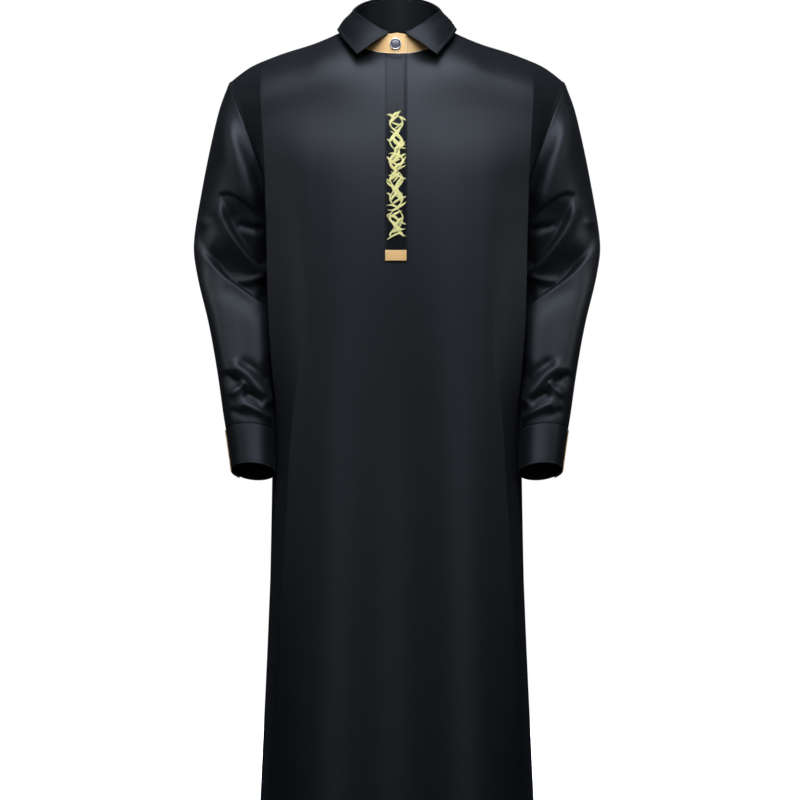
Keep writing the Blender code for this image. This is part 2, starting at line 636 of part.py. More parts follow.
def stand_layer(depth_in, cells_up):
    """A band of the stand, depth_in behind its outer face, and its outward directions.

    It runs from the end on the +X side of the centre front, which lies on top and has a
    rounded corner, over the -X side, the back and the +X side to the end that lies under it.
    """
    ends = [math.asin(STAND_END_X / width) for width in (NECK_HALF_WIDTH, STAND_TOP_HALF_WIDTH)]
    share = np.linspace(0, 1, STAND_CELLS_AROUND + 1)
    low, high = (
        edge(end - share * (2 * math.pi + 2 * end))
        for edge, end in zip((stand_bottom, stand_top), ends)
    )
    from_end = np.where(share < 0.5, low[0, 0] - low[:, 0], STAND_CORNER)
    near = np.clip(1 - from_end / STAND_CORNER, 0, 1)
    high[:, 2] -= STAND_CORNER * (1 - np.sqrt(1 - near**2))
    up = np.linspace(0, 1, cells_up + 1)[:, None, None]
    face = low + up * (high - low)
    length = share * 2 * math.pi * NECK_HALF_WIDTH
    lap = 2 * STAND_END_X
    over = 1 - smooth_step((length - lap) / STAND_OVERLAP_BLEND)
    under = 1 - smooth_step((length[-1] - length - lap) / STAND_OVERLAP_BLEND)
    outwards = unit(face * [1.0, 1.0, 0.0])
    shift = (over - under) * STAND_OVERLAP_SHIFT / 2 - depth_in
    return face + shift[None, :, None] * outwards, outwards


def make_stand(collection, black, gold):
    """The stand's gold outer band and black inner band, overlapping at the centre front."""
    outer, outwards = stand_layer(0.0, STAND_CELLS_UP)
    wall("collar_stand", outer, outer - BAND * outwards, collection, gold)
    outer, outwards = stand_layer(BAND + SEAM_GAP, STAND_CELLS_UP)
    wall("collar_stand_inside", outer, outer - BAND * outwards, collection, black)


def fall_face(angles):
    """The upper face of the collar fall, from the stand's top inside, over the roll, to its edge."""
    inside = 2 * BAND + SEAM_GAP
    top = stand_top(angles)
    outwards = unit(top * [1.0, 1.0, 0.0])
    turn = np.abs(np.angle(np.exp(1j * angles)))
    opened = np.degrees(turn) - FALL_START_ANGLE
    full = smooth_step(opened / FALL_FULL_AFTER)[:, None]
    up = np.array([0.0, 0.0, 1.0])
    table = read_table(FALL_EDGE_COLUMNS, FALL_EDGE)
    edge_points = np.stack([table["x"], table["y"], table["z"]], axis=1)
    edge = smooth_through(np.radians(table["angle"]), edge_points)(turn)
    edge[:, 0] *= np.where(np.sin(angles) < 0, -1.0, 1.0)
    base = top - inside * outwards + 4 * SEAM_GAP * up
    roll = [
        base + FALL_ROLL_HEIGHT * (at_points + full * (at_back - at_points)) * up
        + FALL_ROLL_OUT * out * outwards
        for at_points, at_back, out in FALL_ROLL
    ]
    way = edge - roll[-1]
    drop = [roll[-1] + share * way + FALL_BULGE * out * outwards for share, out in FALL_DROP]
    return np.array(roll + drop)


def make_fall(collection, material):
    """The pointed collar fall, in one piece round the neck."""
    start = math.radians(FALL_START_ANGLE)
    angles = np.linspace(start, 2 * np.pi - start, FALL_CELLS_AROUND + 1)
    face = fall_face(angles)
    normals = face_normals(face)
    if normals[len(FALL_ROLL) - 1, 0, 1] > 0:
        normals = -normals
    return wall("collar_fall", face, face - CLOTH * normals, collection, material)


def on_front(x, z):
    """The point of the front's outer face at x and z near its centre, and its normal."""
    def face(stop, depth):
        stops = np.array([0.0, stop, len(SPAN_CELLS)])
        return half_panel(FRONT_PANEL, 1, stops, np.zeros(1), np.array([depth]))[1, 1]

    sign = -1.0 if x < 0 else 1.0
    stop, depth = abs(x) / FIRST_SPAN_WIDTH, -z
    for _ in range(SEARCH_STEPS):
        here = face(stop, depth)
        stop = max(stop + (abs(x) - here[0]) / FIRST_SPAN_WIDTH, 0.0)
        depth -= z - here[2]
    here = face(stop, depth)
    ahead = face(stop + NEAR_STOP, depth)
    below = face(stop, depth + NEAR_DEPTH)
    normal = np.cross(below - here, ahead - here)
    normal = normal if normal[1] < 0 else -normal
    flip = np.array([sign, 1.0, 1.0])
    return here * flip, unit(normal * flip)


def strip_on_front(x_range, z_range, cells, lift):
    """A grid on the front's outer face, raised by lift, with its normals."""
    columns = np.linspace(*x_range, cells[0] + 1)
    rows = np.linspace(*z_range, cells[1] + 1)
    found = [[on_front(x, z) for x in columns] for z in rows]
    points = np.array([[point for point, _ in row] for row in found])
    normals = np.array([[normal for _, normal in row] for row in found])
    return points + lift * normals, normals


def make_placket(collection, black, gold):
    """The placket down the centre front, and the gold tab across its foot."""
    lift = 2 * SEAM_GAP
    under, normals = strip_on_front(PLACKET_X, PLACKET_Z, PLACKET_CELLS, lift)
    wall("placket", under + CLOTH * normals, under, collection, black)
    lift += CLOTH + SEAM_GAP
    under, normals = strip_on_front(TAB_X, TAB_Z, TAB_CELLS, lift)
    wall("placket_tab", under + BAND * normals, under, collection, gold)


def turned(name, profile, steps, matrix, collection, material):
    """A solid turned from a profile of radius and height, placed by a matrix."""
    mesh = bpy.data.meshes.new(name)
    points = [(radius, 0.0, height) for radius, height in profile]
    edges = [(i, i + 1) for i in range(len(points) - 1)]
    mesh.from_pydata(points, edges, [])
    made = bpy.data.objects.new(name, mesh)
    made.data.materials.append(material)
    collection.objects.link(made)
    screw = made.modifiers.new("Turn", "SCREW")
    screw.steps = screw.render_steps = steps
    screw.use_merge_vertices = True
    screw.merge_threshold = 0.00005
    screw.use_smooth_shade = True
    made.matrix_world = matrix
    return made


def placed(point, outwards):
    """A matrix that puts a turned solid's foot at a point, with its axis leading outwards."""
    turn = Vector(outwards).to_track_quat("Z", "Y").to_matrix().to_4x4()
    return Matrix.Translation(Vector(point)) @ turn


def make_button(collection, steel, enamel):
    """The collar's snap button: a dished rim, and a dark centre set in the dish."""
    x, z = BUTTON_AT
    outer, _ = stand_layer(0.0, 1)
    column = np.hypot(outer[0, :-3, 0] - x, outer[0, :-3, 1] - NECK_FRONT_Y).argmin()
    low, high = outer[0, column], outer[1, column]
    point = low + (z - low[2]) / (high[2] - low[2]) * (high - low)
    point[0] = x
    lean = high - low
    outwards = unit(np.array([0.0, -lean[2], lean[1]]))
    rim_profile = (
        (0.0, BUTTON_DISH),
        (BUTTON_RADIUS - BUTTON_RIM, BUTTON_DISH),
        (BUTTON_RADIUS - BUTTON_RIM * 0.8, BUTTON_HEIGHT * 0.96),
        (BUTTON_RADIUS - BUTTON_RIM * 0.45, BUTTON_HEIGHT),
        (BUTTON_RADIUS, BUTTON_HEIGHT * 0.72),
        (BUTTON_RADIUS, BUTTON_HEIGHT * 0.25),
        (BUTTON_RADIUS - BUTTON_RIM * 0.5, 0.0),
        (0.0, 0.0),
    )
    centre_profile = (
        (0.0, BUTTON_HEIGHT * 0.88),
        (BUTTON_CENTRE_RADIUS * 0.6, BUTTON_HEIGHT * 0.86),
        (BUTTON_CENTRE_RADIUS, BUTTON_HEIGHT * 0.76),
        (BUTTON_CENTRE_RADIUS, BUTTON_DISH + SEAM_GAP),
        (0.0, BUTTON_DISH + SEAM_GAP),
    )
    matrix = placed(point + SEAM_GAP * outwards, outwards)
    turned("neck_button", rim_profile, BUTTON_STEPS, matrix, collection, steel)
    turned("neck_button_centre", centre_profile, BUTTON_STEPS, matrix, collection, enamel)


def make_material(name, finish):
    """A Principled material from its colour, roughness and metallic value."""
    colour, roughness, metallic = finish
    material = bpy.data.materials.new(name)
    material.use_nodes = True
    shader = material.node_tree.nodes["Principled BSDF"]
    shader.inputs["Base Color"].default_value = colour
    shader.inputs["Roughness"].default_value = roughness
    shader.inputs["Metallic"].default_value = metallic
    return material


def main():
    for old in list(bpy.data.objects):
        bpy.data.objects.remove(old)
    collection = bpy.data.collections.new("thobe")
    bpy.context.scene.collection.children.link(collection)
    black = make_material("black_cloth", BLACK_CLOTH)
    gold = make_material("gold_cloth", GOLD_CLOTH)
    steel = make_material("steel", STEEL)
    enamel = make_material("enamel", ENAMEL)
    make_front(collection, black)
    make_back(collection, black)
    make_sleeves(collection, black)
    make_cuffs(collection, black, gold)
    make_stand(collection, black, gold)
    make_fall(collection, black)
    make_placket(collection, black, gold)
    make_button(collection, steel, enamel)


main()
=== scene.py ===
"""The looks of a long black thobe: fine cloth on its solids, sewing, a stage and soft light.

Metres, +Z up, the front faces -Y. The origin is the centre of the neck base.
"""

import math

import bmesh
import bpy
import numpy as np
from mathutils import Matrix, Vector


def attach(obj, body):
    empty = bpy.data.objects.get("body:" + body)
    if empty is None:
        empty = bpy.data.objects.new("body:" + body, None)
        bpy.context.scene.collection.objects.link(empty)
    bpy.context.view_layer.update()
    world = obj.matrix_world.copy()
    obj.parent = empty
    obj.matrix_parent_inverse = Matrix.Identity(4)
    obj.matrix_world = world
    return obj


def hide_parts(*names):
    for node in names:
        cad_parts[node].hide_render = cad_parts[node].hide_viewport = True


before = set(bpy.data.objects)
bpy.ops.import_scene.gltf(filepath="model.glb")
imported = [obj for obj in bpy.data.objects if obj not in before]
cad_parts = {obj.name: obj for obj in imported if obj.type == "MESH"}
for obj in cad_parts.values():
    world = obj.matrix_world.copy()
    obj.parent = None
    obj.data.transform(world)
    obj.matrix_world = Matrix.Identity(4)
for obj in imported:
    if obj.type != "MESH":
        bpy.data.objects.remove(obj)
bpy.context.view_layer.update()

# Thickness of the single cloth, the fall, the cuffs and the other bands. SEAM_GAP is between
# pieces, and PANEL_GAP between the panels and sleeves, whose edges are turned in at their
# seams in rows at these distances.
CLOTH = 0.0009
FALL_CLOTH = 0.0014
CUFF_CLOTH = 0.0018
BAND = 0.0012
SEAM_GAP = 0.0003
PANEL_GAP = 0.00005
TURNED_ROWS = (0.0004, 0.0020, 0.0060)
# A rounded edge keeps this share of its thickness at its end, and its rows lie at these places.
EDGE_LEAST = 0.12
EDGE_PLACES = (0.0, 0.06, 0.2, 0.5)
HEM_HEIGHT = 0.018
HEM_THICKNESS = 0.0016
HEM_ROUNDING = 0.0009
HEM_EASE = 0.001

# The armhole is an ellipse in a plane that leans out from the underarm to the shoulder tip.
SHOULDER_TIP = np.array([0.2350, 0.0, -0.0755])
UNDERARM = np.array([0.1600, 0.0, -0.2700])
ARMHOLE_HALF_DEPTH = 0.062
ARMHOLE_RINGS = 7

# The neck seam, and the shoulder line from it to the tip.
NECK_HALF_WIDTH = 0.072
NECK_FRONT_Y = -0.085
NECK_FRONT_Z = -0.0414
NECK_BACK_Y = 0.062
NECK_BACK_Z = 0.002
SHOULDER_LINE = {
    "x": (0.072, 0.099, 0.122, 0.154, 0.184, 0.207, 0.2226, 0.2350),
    "z": (0.000, -0.0125, -0.0214, -0.0313, -0.0425, -0.0534, -0.0648, -0.0755),
}
# Where a panel's spans meet the shoulder line: at the neck, inner fold, front edge and tip.
# SHOULDER_IN is the way its turned-in cloth leads, and the top edge's dip is from TOP_LEVEL.
SHOULDER_STOPS = (0.072, 0.130, 0.188, 0.2350)
SHOULDER_IN = np.array([-0.3569, 0.0, -0.9341])
TOP_LEVEL = -0.060

# The rings of the body at rising depth below the shoulders. follow says how far a ring keeps
# the dip of the top edge. Each half ring runs from the centre over a soft ridge and a fold to
# the edge where the cloth turns back to the armhole or the side seam. crease is 0 for a smooth
# turn and 1 for a folded one.
RING_COLUMNS = ("depth", "follow", "side_x", "side_z")
RINGS = (
    (0.06, 1, 0.235, -0.0755),
    (0.088, 0.8, 0, 0),
    (0.13, 0.45, 0, 0),
    (0.178, 0.15, 0, 0),
    (0.224, 0, 0, 0),
    (0.258, 0, 0, 0),
    (0.285, 0, 0.16, -0.27),
    (0.335, 0, 0.157, -0.333),
    (0.4, 0, 0.158, -0.4),
    (0.475, 0, 0.161, -0.475),
    (0.55, 0, 0.166, -0.55),
    (0.63, 0, 0.1705, -0.63),
    (0.73, 0, 0.1755, -0.73),
    (0.85, 0, 0.1805, -0.85),
    (1, 0, 0.1875, -1),
    (1.18, 0, 0.196, -1.18),
    (1.43, 0, 0.208, -1.43),
)
PANEL_COLUMNS = (
    "centre_y", "ridge_x", "ridge_y", "fold_x", "fold_y", "fold_crease",
    "edge_x", "edge_y", "edge_crease",
)
FRONT_PANEL = (
    (-0.102, 0.08, -0.078, 0.133, -0.074, 0, 0.1885, -0.066, 0.7),
    (-0.12, 0.086, -0.107, 0.135, -0.1, 0, 0.1865, -0.09, 0.9),
    (-0.132, 0.089, -0.127, 0.136, -0.118, 0, 0.183, -0.1, 0.9),
    (-0.137, 0.09, -0.135, 0.135, -0.124, 0.1, 0.181, -0.101, 0.9),
    (-0.1385, 0.09, -0.137, 0.134, -0.126, 0.1, 0.1803, -0.1, 0.9),
    (-0.1385, 0.089, -0.138, 0.1325, -0.127, 0.15, 0.1795, -0.098, 0.9),
    (-0.1375, 0.088, -0.139, 0.132, -0.128, 0.2, 0.1787, -0.095, 0.9),
    (-0.1345, 0.087, -0.1395, 0.1315, -0.128, 0.3, 0.177, -0.091, 0.85),
    (-0.1305, 0.088, -0.14, 0.134, -0.127, 0.5, 0.172, -0.086, 0.7),
    (-0.1275, 0.091, -0.141, 0.144, -0.123, 0.8, 0.1655, -0.076, 0.5),
    (-0.1265, 0.095, -0.143, 0.1495, -0.12, 0.9, 0.166, -0.062, 0.2),
    (-0.127, 0.098, -0.146, 0.157, -0.115, 0.8, 0.1715, -0.055, 0),
    (-0.129, 0.1, -0.15, 0.164, -0.11, 0.6, 0.177, -0.05, 0),
    (-0.133, 0.103, -0.156, 0.171, -0.106, 0.4, 0.184, -0.048, 0),
    (-0.138, 0.107, -0.164, 0.178, -0.106, 0.3, 0.192, -0.05, 0),
    (-0.144, 0.112, -0.175, 0.187, -0.108, 0.3, 0.203, -0.052, 0),
)
BACK_PANEL = (
    (0.086, 0.08, 0.06, 0.133, 0.056, 0, 0.188, 0.048, 0.2),
    (0.107, 0.086, 0.092, 0.135, 0.084, 0, 0.186, 0.073, 0.4),
    (0.118, 0.089, 0.112, 0.136, 0.102, 0, 0.1835, 0.086, 0.6),
    (0.1205, 0.09, 0.118, 0.136, 0.108, 0, 0.1815, 0.089, 0.7),
    (0.12, 0.09, 0.119, 0.135, 0.109, 0, 0.18, 0.088, 0.7),
    (0.1185, 0.09, 0.119, 0.134, 0.109, 0, 0.179, 0.086, 0.7),
    (0.1155, 0.09, 0.119, 0.133, 0.109, 0.1, 0.1775, 0.083, 0.7),
    (0.1115, 0.09, 0.118, 0.133, 0.108, 0.2, 0.1765, 0.078, 0.6),
    (0.108, 0.09, 0.118, 0.136, 0.107, 0.3, 0.1755, 0.071, 0.5),
    (0.1065, 0.091, 0.119, 0.141, 0.105, 0.4, 0.175, 0.064, 0.3),
    (0.1065, 0.093, 0.121, 0.147, 0.103, 0.4, 0.1755, 0.057, 0.1),
    (0.108, 0.096, 0.124, 0.153, 0.1, 0.4, 0.1765, 0.052, 0),
    (0.111, 0.099, 0.129, 0.16, 0.098, 0.4, 0.1785, 0.049, 0),
    (0.116, 0.102, 0.136, 0.168, 0.098, 0.3, 0.185, 0.048, 0),
    (0.122, 0.106, 0.145, 0.176, 0.1, 0.2, 0.193, 0.05, 0),
    (0.13, 0.111, 0.156, 0.186, 0.104, 0.2, 0.2035, 0.053, 0),
)
SPAN_CELLS = (26, 18, 18, 26)
SPAN_GATHER = (0.0, 0.3, 0.85, 0.92)
ARMHOLE_CELLS = 48
ARMHOLE_GATHER = 0.8
SKIRT_CELLS = 150
SKIRT_TOP = 0.290
HEM_CELLS = 13
HEM_STEP = 0.002
HEM_EDGE_ROWS = (0.0014, 0.0008, 0.0003, 0.0)
SLIT_SPAN = 0.016
SLIT_END = 0.290

# The rows of a finely divided panel are eased over this length, less in the first rows. The
# easing is full as far as this place across, in spans from the centre, and fades out beyond it.
SOFTENED_FROM_COLUMNS = 40
SOFTENED_OVER = 0.028
SOFTENED_ROWS = 12
SOFTENED_TO = 1.25
SOFTENED_BLEND = 0.6

# The cloth is raised beside a seam, less at the side seams, and drawn in at the hem's stitches.
SEAM_RIDGE = 0.0006
SEAM_RIDGE_FROM = 0.0024
SEAM_RIDGE_WIDTH = 0.0015
SIDE_SEAM_SHARE = 0.3
SIDE_SEAM_BLEND = 0.02
HEM_GROOVE_DOWN = 0.0015
HEM_GROOVE_WIDTH = 0.0012

# The sleeve and its cuff. Each ring is an ellipse between an outer and an inner point;
# centre_y and half_depth give its fore and aft place, front_lift raises its front, and flat
# presses its front and back flatter.
SLEEVE_COLUMNS = (
    "outer_x", "outer_z", "inner_x", "inner_z", "centre_y", "half_depth", "front_lift", "flat",
)
SLEEVE_RINGS = (
    (0.235, -0.0755, 0.16, -0.27, 0, 0.062, 0, 0),
    (0.2461, -0.104, 0.164, -0.2735, 0, 0.067, 0, 0),
    (0.2543, -0.134, 0.1668, -0.281, 0.001, 0.071, 0, 0.02),
    (0.2648, -0.181, 0.1685, -0.2945, 0.004, 0.074, 0, 0.08),
    (0.2764, -0.241, 0.169, -0.316, 0.008, 0.074, 0, 0.15),
    (0.2841, -0.294, 0.17, -0.343, 0.004, 0.064, 0, 0.3),
    (0.2824, -0.327, 0.171, -0.366, 0.001, 0.057, 0.001, 0.45),
    (0.2746, -0.364, 0.172, -0.394, -0.01, 0.052, 0.002, 0.55),
    (0.2617, -0.415, 0.1725, -0.435, -0.0225, 0.05, 0.004, 0.6),
    (0.2487, -0.485, 0.1705, -0.496, -0.037, 0.0485, 0.008, 0.55),
    (0.242, -0.53, 0.169, -0.536, -0.0455, 0.0475, 0.011, 0.42),
    (0.2371, -0.559, 0.1675, -0.5625, -0.052, 0.045, 0.012, 0.32),
)
SLEEVE_CELLS_AROUND = 196
SLEEVE_CELLS_ALONG = 216
SLEEVE_SEAM_ANGLE = 3.7
SLEEVE_FRONT_GATHER = 0.3
SLEEVE_END_ROWS = (0.0, 0.0003, 0.0008, 0.0016)
SLEEVE_ENDS = 0.0028
# The foot is tucked into the cuff by these distances inward and onward, and its cloth thins out.
SLEEVE_TUCK = ((0.0012, 0.0), (0.0026, 0.0004), (0.0028, 0.0050))
SLEEVE_TUCK_CLOTH = (1.0, 0.8, 0.0)
PANEL_GAP_OVER = 0.01
CUFF_RINGS = (
    (0.2368, -0.5596, 0.1678, -0.5631, -0.0522, 0.0445, 0.012, 0.32),
    (0.2324, -0.588, 0.1678, -0.5915, -0.059, 0.043, 0.0125, 0.32),
    (0.2283, -0.615, 0.1675, -0.619, -0.0655, 0.042, 0.013, 0.32),
)
CUFF_CELLS = (40, 100)
CUFF_SIZE = (0.150, 0.055)
CUFF_END_CELLS = 0.0014
CUFF_ROUNDING = 0.0012
CUFF_SLIT_ANGLE = 25.0
CUFF_SLIT_HALF = 3.0
CUFF_TAB_ANGLES = (-3.0, 48.0)
CUFF_TAB_BELOW = 0.0012
CUFF_TAB_CELLS = (34, 26)
CUFF_TAB_WIDTH = 0.030
TAB_END_CELLS = 0.0010
TAB_ROUNDING = 0.0009

# Folds of the left sleeve. line is where the fold lies as seen from the front, as x and z.
# It is a ridge where height is above 0 and a trough below 0. right and left are its widths on
# the right and left hand of its run, and start and end say over what share of its length it
# rises from nothing and dies away.
FOLD_COLUMNS = ("height", "right", "left", "start", "end", "line")
FOLD_STEPS = 6
SLEEVE_FOLDS = (
    (0.007, 0.013, 0.02, 0.45, 0.25,
     ((0.2291, -0.093), (0.2291, -0.1385), (0.2236, -0.173), (0.2111, -0.2061),
      (0.196, -0.2392), (0.1794, -0.271))),
    (-0.008, 0.013, 0.013, 0.35, 0.3,
     ((0.1918, -0.184), (0.1849, -0.2213), (0.178, -0.2765))),
    (-0.0035, 0.0035, 0.03, 0.1, 0.5,
     ((0.2498, -0.2379), (0.2374, -0.2351), (0.2222, -0.2406), (0.2015, -0.2558),
      (0.1794, -0.2779))),
    (-0.009, 0.02, 0.0035, 0.3, 0.1,
     ((0.2415, -0.2392), (0.2346, -0.2613), (0.2249, -0.282), (0.207, -0.3069),
      (0.1891, -0.3276), (0.1766, -0.3386))),
    (0.005, 0.0045, 0.01, 0.15, 0.1,
     ((0.247, -0.242), (0.2415, -0.2627), (0.2318, -0.2848), (0.2139, -0.311),
      (0.1946, -0.3331), (0.178, -0.3469))),
    (-0.004, 0.006, 0.006, 0.3, 0.2,
     ((0.2249, -0.2724), (0.207, -0.2793), (0.1794, -0.2834))),
    (-0.011, 0.022, 0.0035, 0.35, 0.05,
     ((0.2719, -0.3013), (0.2622, -0.3138), (0.2484, -0.3303), (0.2263, -0.351),
      (0.1973, -0.371), (0.1697, -0.3938))),
    (0.0045, 0.005, 0.005, 0.3, 0.2,
     ((0.2332, -0.351), (0.2056, -0.3524), (0.178, -0.3455))),
    (0.006, 0.0035, 0.07, 0.25, 0.1,
     ((0.2995, -0.2668), (0.2788, -0.2944), (0.265, -0.3179), (0.2512, -0.3345),
      (0.2291, -0.3558), (0.2001, -0.3759), (0.1766, -0.3952), (0.1339, -0.4324))),
    (-0.002, 0.01, 0.012, 0.3, 0.2,
     ((0.2525, -0.3579), (0.2139, -0.38), (0.178, -0.4035))),
    (0.003, 0.006, 0.007, 0.3, 0.4,
     ((0.2788, -0.2682), (0.2677, -0.271), (0.2567, -0.2765))),
    (0.006, 0.009, 0.008, 0.18, 0.15,
     ((0.236, -0.4697), (0.2139, -0.478), (0.1946, -0.4973), (0.1725, -0.529))),
    (-0.004, 0.007, 0.007, 0.3, 0.2,
     ((0.2222, -0.4614), (0.2001, -0.4738), (0.1739, -0.4945))),
    (-0.0055, 0.005, 0.009, 0.3, 0.25,
     ((0.2415, -0.478), (0.2277, -0.489), (0.2098, -0.4973))),
    (0.004, 0.005, 0.006, 0.15, 0.35,
     ((0.2084, -0.4918), (0.2194, -0.5028), (0.2305, -0.5166))),
    (-0.005, 0.006, 0.006, 0.25, 0.3,
     ((0.2139, -0.507), (0.1973, -0.5125), (0.178, -0.5235))),
    (0.005, 0.005, 0.007, 0.2, 0.15,
     ((0.2208, -0.5221), (0.1973, -0.529), (0.1711, -0.5484))),
    (-0.0035, 0.006, 0.006, 0.3, 0.3,
     ((0.2305, -0.529), (0.2167, -0.5387), (0.2001, -0.5456))),
    (0.0022, 0.004, 0.004, 0.25, 0.25,
     ((0.2125, -0.5484), (0.1932, -0.5497), (0.1739, -0.5553))),
)
HIDDEN_FOLD_SHARE = 0.6
HIDDEN_FOLD_DROP = 0.012
# Folds start where the cloth faces forward or back by more than this, over this range, and
# they rise and die away over these numbers of rings at the armhole and at the cuff.
FOLD_FACING = 0.05
FOLD_FACING_BLEND = 0.5
FOLD_EASE = (1.5, 0.7)

# Collar. The stand leans in from the neck seam to its top; the fall rolls over it.
STAND_TOP_HALF_WIDTH = 0.0612
STAND_TOP_FRONT_Y = -0.0820
STAND_TOP_BACK_Y = 0.0540
STAND_TOP_COLUMNS = ("angle", "z")
STAND_TOP = (
    (0.0, -0.0122),
    (11.0, -0.0136),
    (27.0, -0.0055),
    (43.0, 0.0041),
    (63.0, 0.0149),
    (90.0, 0.0234),
    (135.0, 0.0409),
    (180.0, 0.0509),
)
STAND_END_X = 0.0127
STAND_OVERLAP_BLEND = 0.030
STAND_OVERLAP_SHIFT = 0.0037
STAND_CORNER = 0.0045
STAND_FACE_LOWER = 0.0012
STAND_LOWER_TURN = 0.35
STAND_CELLS = (220, 12)
STAND_HEIGHT = 0.030
STAND_ROUNDING = 0.0010
STAND_LAP = 0.016
STAND_LAP_CELLS = 34
FALL_START_ANGLE = 10.7
FALL_FULL_WITHIN = 50.0
FALL_ROLL_HEIGHT = 0.0026
FALL_ROLL_OUT = 0.0055
# How high and far out the roll's sections are, as shares of its height and reach, and how much
# of its height the turned-over one loses where the fall is full.
FALL_SHOULDER_UP = 0.55
FALL_CROWN_OUT = 0.45
FALL_TURNED_UP = 0.45
FALL_TURNED_DROP = 0.65
FALL_EDGE_COLUMNS = ("angle", "x", "y", "z")
FALL_EDGE = (
    (10.7, 0.0555, -0.1010, -0.0430),
    (30.0, 0.0660, -0.0830, -0.0300),
    (50.0, 0.0765, -0.0560, -0.0160),
    (70.0, 0.0828, -0.0260, -0.0040),
    (90.0, 0.0840, 0.0020, 0.0004),
    (120.0, 0.0750, 0.0420, 0.0008),
    (150.0, 0.0450, 0.0780, -0.0006),
    (180.0, 0.0000, 0.0900, -0.0010),
)
FALL_CELLS = (200, 40)
FALL_SIZE = (0.420, 0.065)
FALL_END_CELLS = (0.0030, 0.0016)
FALL_BULGE = 0.0022
FALL_LOWER_BULGE = 0.8
FALL_ROUNDING = 0.0012
# Where the fall's seven sections lie between its seam and its edge, and where its evenly
# counted rows go, closer together over the roll.
FALL_SECTIONS = (0.0, 0.05, 0.12, 0.22, 0.48, 0.74, 1.0)
FALL_ROWS = (0.0, 0.03, 0.06, 0.10, 0.15, 0.21, 0.28, 0.37, 0.48, 0.61, 0.75, 0.88, 1.0)

# Front trim, and the stretch of the front's face that is measured for it.
FRONT_SPAN = 0.3
FRONT_DEPTHS = (0.061, 0.400)
FRONT_X = (0.0, 0.022)
FRONT_Z = (-0.036, -0.345)
FRONT_CELLS = (61, 340)
FRONT_STEPS = (45, 310)
PLACKET_CLOTH = CLOTH * 1.5
PLACKET_X = (-0.0157, 0.0137)
PLACKET_Z = (-0.0425, -0.3260)
PLACKET_CELLS = (28, 90)
PLACKET_FREE_RISE = 0.0014
PLACKET_FREE_WIDTH = 0.0050
TAB_X = (-0.0160, 0.0132)
TAB_Z = (-0.3140, -0.3284)
TAB_CELLS = (14, 8)

# The snap button.
BUTTON_RADIUS = 0.0079
BUTTON_RIM = 0.0014
BUTTON_HEIGHT = 0.0026
BUTTON_DISH = 0.0014
BUTTON_CENTRE_RADIUS = 0.0060
BUTTON_CENTRE_EDGE = 0.0004
BUTTON_CENTRE_SIDE = 0.72
BUTTON_FOOT_IN = 0.6
BUTTON_DOME = (0.90, 0.16)
BUTTON_STEPS = 72
BUTTON_AT = (-0.0020, -0.0280)

# Sewing.
STITCH_LENGTH = 0.0023
STITCH_PITCH = 0.0031
STITCH_RADIUS = 0.00028
# Places along a stitch and their heights over the cloth, in radii: both ends dive in.
STITCH_PLACES = (0.0, 0.2, 0.8, 1.0)
STITCH_HEIGHTS = (-1.2, 0.5, 0.5, -1.2)
STITCH_GROOVE = 0.00030
STITCH_GROOVE_WIDTH = 0.0010
STITCH_FROM_EDGE = 0.0024
STAND_STITCH_ENDS = ((0.0035, 0.0035), (0.001, 0.003))
FALL_STITCH_FROM_EDGE = 0.0045
FALL_STITCH_START = 0.016
PLACKET_STITCH_FROM_EDGE = 0.0016
# The cord round the stand's lap is raised, and drawn in a paler gold as a painted highlight of the
# edge.
LAP_CORD_RADIUS = 0.00050
LAP_CORD_IN = 0.0006
LAP_CORD_LENGTHS = (0.048, 0.022)
LAP_CORD_POINTS = 160
LAP_CORD_FLAT = 0.7

# The embroidery: two winding stems with pointed leaves on both sides, in raised satin stitch.
VINE_CENTRE_X = -0.0008
VINE_HALF_WIDTH = 0.0135
VINE_TOP = -0.1280
VINE_BOTTOM = -0.2950
VINE_SWAY = 0.0086
VINE_TURNS = 3.25
VINE_SEED = 11
STEM_HALF = 0.0012
STEM_LEAST = 0.5
STEM_AHEAD = 0.005
LEAF_PAIRS = 36
LEAF_FIRST = 0.35
LEAF_SECOND = 0.3
LEAF_SPREAD = 0.2
LEAF_PLACES = (0.02, 0.97)
LEAF_INWARD = 0.75
LEAF_RISING = 0.6
LEAF_ANGLE = (30.0, 75.0)
LEAF_LENGTH = (0.0130, 0.0230)
LEAF_WIDTH = (0.0011, 0.0021)
LEAF_BEND = (-0.15, 0.25)
# Where along a leaf its threads start, how far on they end, and how high they are at its ends.
LEAF_THREADS = (0.04, 0.98)
LEAF_LEAD = 0.16
LEAF_LEAST = 0.6
THREAD_RADIUS = 0.00027
THREAD_PITCH = 0.00056
THREAD_RISE = 0.0013
THREAD_POINTS = 3
THREAD_FOOT = 0.15

# The cloths. A weave's pitch is in metres, its slant in degrees, and a wave texture of scale 1
# repeats every WAVE_PITCH. The black cloth's gloss is less on the fall, and on the placket it
# falls between two levels, where the embroidery's ground is dull.
WAVE_PITCH = 0.314
WEAVE_HEIGHT = 0.0002
BLACK_TWILL = {
    "colour": (0.0043, 0.0043, 0.0048), "roughness": 0.50, "gloss": 0.24, "sheen": 0.01,
    "sheen_tint": (0.8, 0.87, 1.0), "pitch": 0.0009, "slant": 58, "depth": 0.35,
}
GOLD_SATIN = {
    "colour": (0.77, 0.445, 0.160), "roughness": 0.42, "gloss": 0.5, "sheen": 0.1,
    "sheen_tint": (1.0, 0.92, 0.75), "pitch": 0.0006, "slant": 90, "depth": 0.20,
}
FALL_GLOSS = 0.18
EMBROIDERY_GROUND = (-0.148, -0.118)
EMBROIDERY_GROUND_GLOSS = (0.07, 0.20)

# The photograph's camera: level, in front, with this width of view at the wearer's middle.
CAMERA_AT = (0.0042, -5.0, -0.518)
VIEW_WIDTH = 1.12

